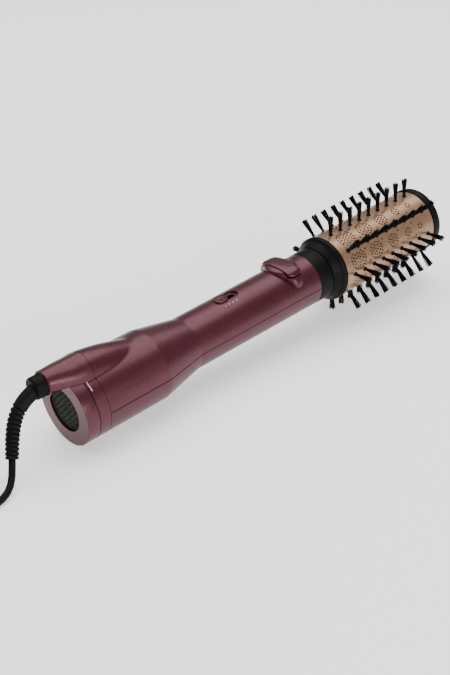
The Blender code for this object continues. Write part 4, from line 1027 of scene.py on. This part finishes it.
def add_boss(bm, x):
    size, height = BOSS[0]
    ring = bmesh.ops.create_circle(bm, cap_ends=True, segments=20, radius=size)["verts"]
    bmesh.ops.translate(bm, vec=(x, 0.0, height), verts=ring)
    end = list({f for v in ring for f in v.link_faces})
    for radius, z in BOSS[1:]:
        end, ring = extrude_end(bm, end)
        bmesh.ops.translate(bm, vec=(0.0, 0.0, z - height), verts=ring)
        bmesh.ops.scale(bm, vec=(radius / size, radius / size, 1.0),
                        space=Matrix.Translation((-x, 0.0, 0.0)), verts=ring)
        size, height = radius, z


def add_tuft(bm, x, dice):
    """Fine bristles that spread out from the boss."""
    for k in range(BRISTLES):
        away = math.sqrt((k + 0.5) / BRISTLES)
        turn = k * GOLDEN_TURN + dice.uniform(-0.2, 0.2)
        root_away = ROOT_SPREAD * away
        root = Vector((x + root_away * math.cos(turn), root_away * math.sin(turn), 25.9))
        tip_away = TIP_SPREAD * away * dice.uniform(0.82, 1.05)
        tip = Vector((x + tip_away * math.cos(turn), tip_away * math.sin(turn),
                      TUFT_TIP_R - dice.uniform(0.02, 1.3)))
        bend = Vector((dice.uniform(-0.12, 0.12), dice.uniform(-0.12, 0.12), 0.0))
        strand(bm, [root, root.lerp(tip, 0.55) + bend, tip], BRISTLE_R, 4)


def bristle_row(row):
    """A strip inside the barrel, and nine tufts of fine bristles, each standing in a boss."""
    bm = box((STRIP_END - TUFT_START + STRIP_LEAD, 6.0, 2.1),
             ((STRIP_END + TUFT_START - STRIP_LEAD) / 2, 0.0, 23.36 - 1.05))
    round_edges(bm, bm.edges[:], 0.4, 2)
    dice = random.Random(40 + row)
    for i in range(TUFTS):
        x = TUFT_START + i * TUFT_PITCH
        add_boss(bm, x)
        add_tuft(bm, x, dice)
    spin_to(bm, row, bm.verts)
    name = f"bristle_row_{row + 1}"
    return keep(bm, f"{name}_tufts", "brush_head", nylon, (name,), 50.0)


def end_cap():
    """The black cap: rounded rim, shallow dished face and a hub that holds the shaft."""
    start = BARREL_END + GAP
    back, face = start - 3.0, TIP_END - 0.5
    profile = [(back, 22.0), (back, 23.6), (start, 23.6), (start, 25.75), (start + 0.5, TIP_R),
               (TIP_END - 3.2, TIP_R), (TIP_END - 0.9, 25.1), (TIP_END, 22.8), (TIP_END, 20.8),
               (face, 20.2), (face, 0.0)]
    outer = soften(profile, 0.9, 5)
    inner = [(TIP_END - 5.0, 0.0), (TIP_END - 5.0, 2.5), (back, 2.5), (back, 5.2),
             (TIP_END - 3.5, 5.2), (TIP_END - 3.5, 22.0), (back, 22.0)]
    return keep(turned(outer + inner, 144), "end_cap_skin", "brush_head", black,
                ("end_cap",), 32.0)


knob()
speed_marks()
bezel()
rocker()
front_collar()
head_base()
perforated_barrel()
for row_number in range(ROWS):
    bristle_row(row_number)
end_cap()

# Finishes for the parts whose shape stays as the frame has it
INSIDE = [
    (steel, ("fan_motor", "fan_shaft", "gear_motor", "gear_bracket", "drive_shaft", "rocker_pin",
             "swivel_clip", "thermostat", "cap_screw_1", "cap_screw_2", "cap_screw_3",
             "cap_screw_4")),
    (black, ("motor_mount", "impeller", "slide_switch", "rocker_switch", "gearbox", "grille_clip")),
    (mica, ("heater_tube", "heater_frame")),
    (wire_metal, ("heater_coil",)),
    (board, ("circuit_board",)),
    (white, ("switch_slider",)),
    (brass, ("shaft_bush", "plug_pin_1", "plug_pin_2")),
]
for finish, node_names in INSIDE:
    for node_name in node_names:
        mesh = frame["nodes"][node_name].data
        mesh.materials.clear()
        mesh.materials.append(finish.material)

# Floor and light
FLOOR_HALF, FLOOR_DROP = 6.0, 0.0002
floor_mesh = bpy.data.meshes.new("floor")
floor_bm = bmesh.new()
bmesh.ops.create_grid(floor_bm, x_segments=1, y_segments=1, size=FLOOR_HALF)
floor_bm.to_mesh(floor_mesh)
floor_bm.free()
floor = bpy.data.objects.new("floor", floor_mesh)
floor.location.z = -FLOOR_DROP
bpy.context.scene.collection.objects.link(floor)
pale = Finish("pale_floor", 0.9, Emission_Strength=0.6)
pale.set("Emission Color", pale.mix(pale.noise(2.0), (0.99, 0.99, 0.99), (1.0, 1.0, 1.0)))
pale.set("Base Color", pale.mix(pale.noise(3.0), (0.92, 0.92, 0.92), (0.95, 0.95, 0.95)))
floor_mesh.materials.append(pale.material)

world = bpy.data.worlds.new("studio")
bpy.context.scene.world = world
world.use_nodes = True
sky = world.node_tree.nodes["Background"]
sky.inputs["Color"].default_value = (1.0, 1.0, 1.0, 1.0)
sky.inputs["Strength"].default_value = 0.35


def softbox(name, spot, target, size, power):
    light = bpy.data.lights.new(name, "AREA")
    light.shape = "RECTANGLE"
    light.size, light.size_y = size
    light.energy = power
    made = bpy.data.objects.new(name, light)
    bpy.context.scene.collection.objects.link(made)
    made.location = spot
    made.rotation_mode = "QUATERNION"
    made.rotation_quaternion = (Vector(target) - Vector(spot)).to_track_quat("-Z", "Y")


softbox("top_box", (0.35, 0.45, 1.8), (0.05, 0.05, 0.03), (2.6, 2.0), 60.0)
softbox("front_box", (-0.25, -1.3, 0.4), (0.0, 0.0, 0.03), (1.1, 0.4), 14.0)
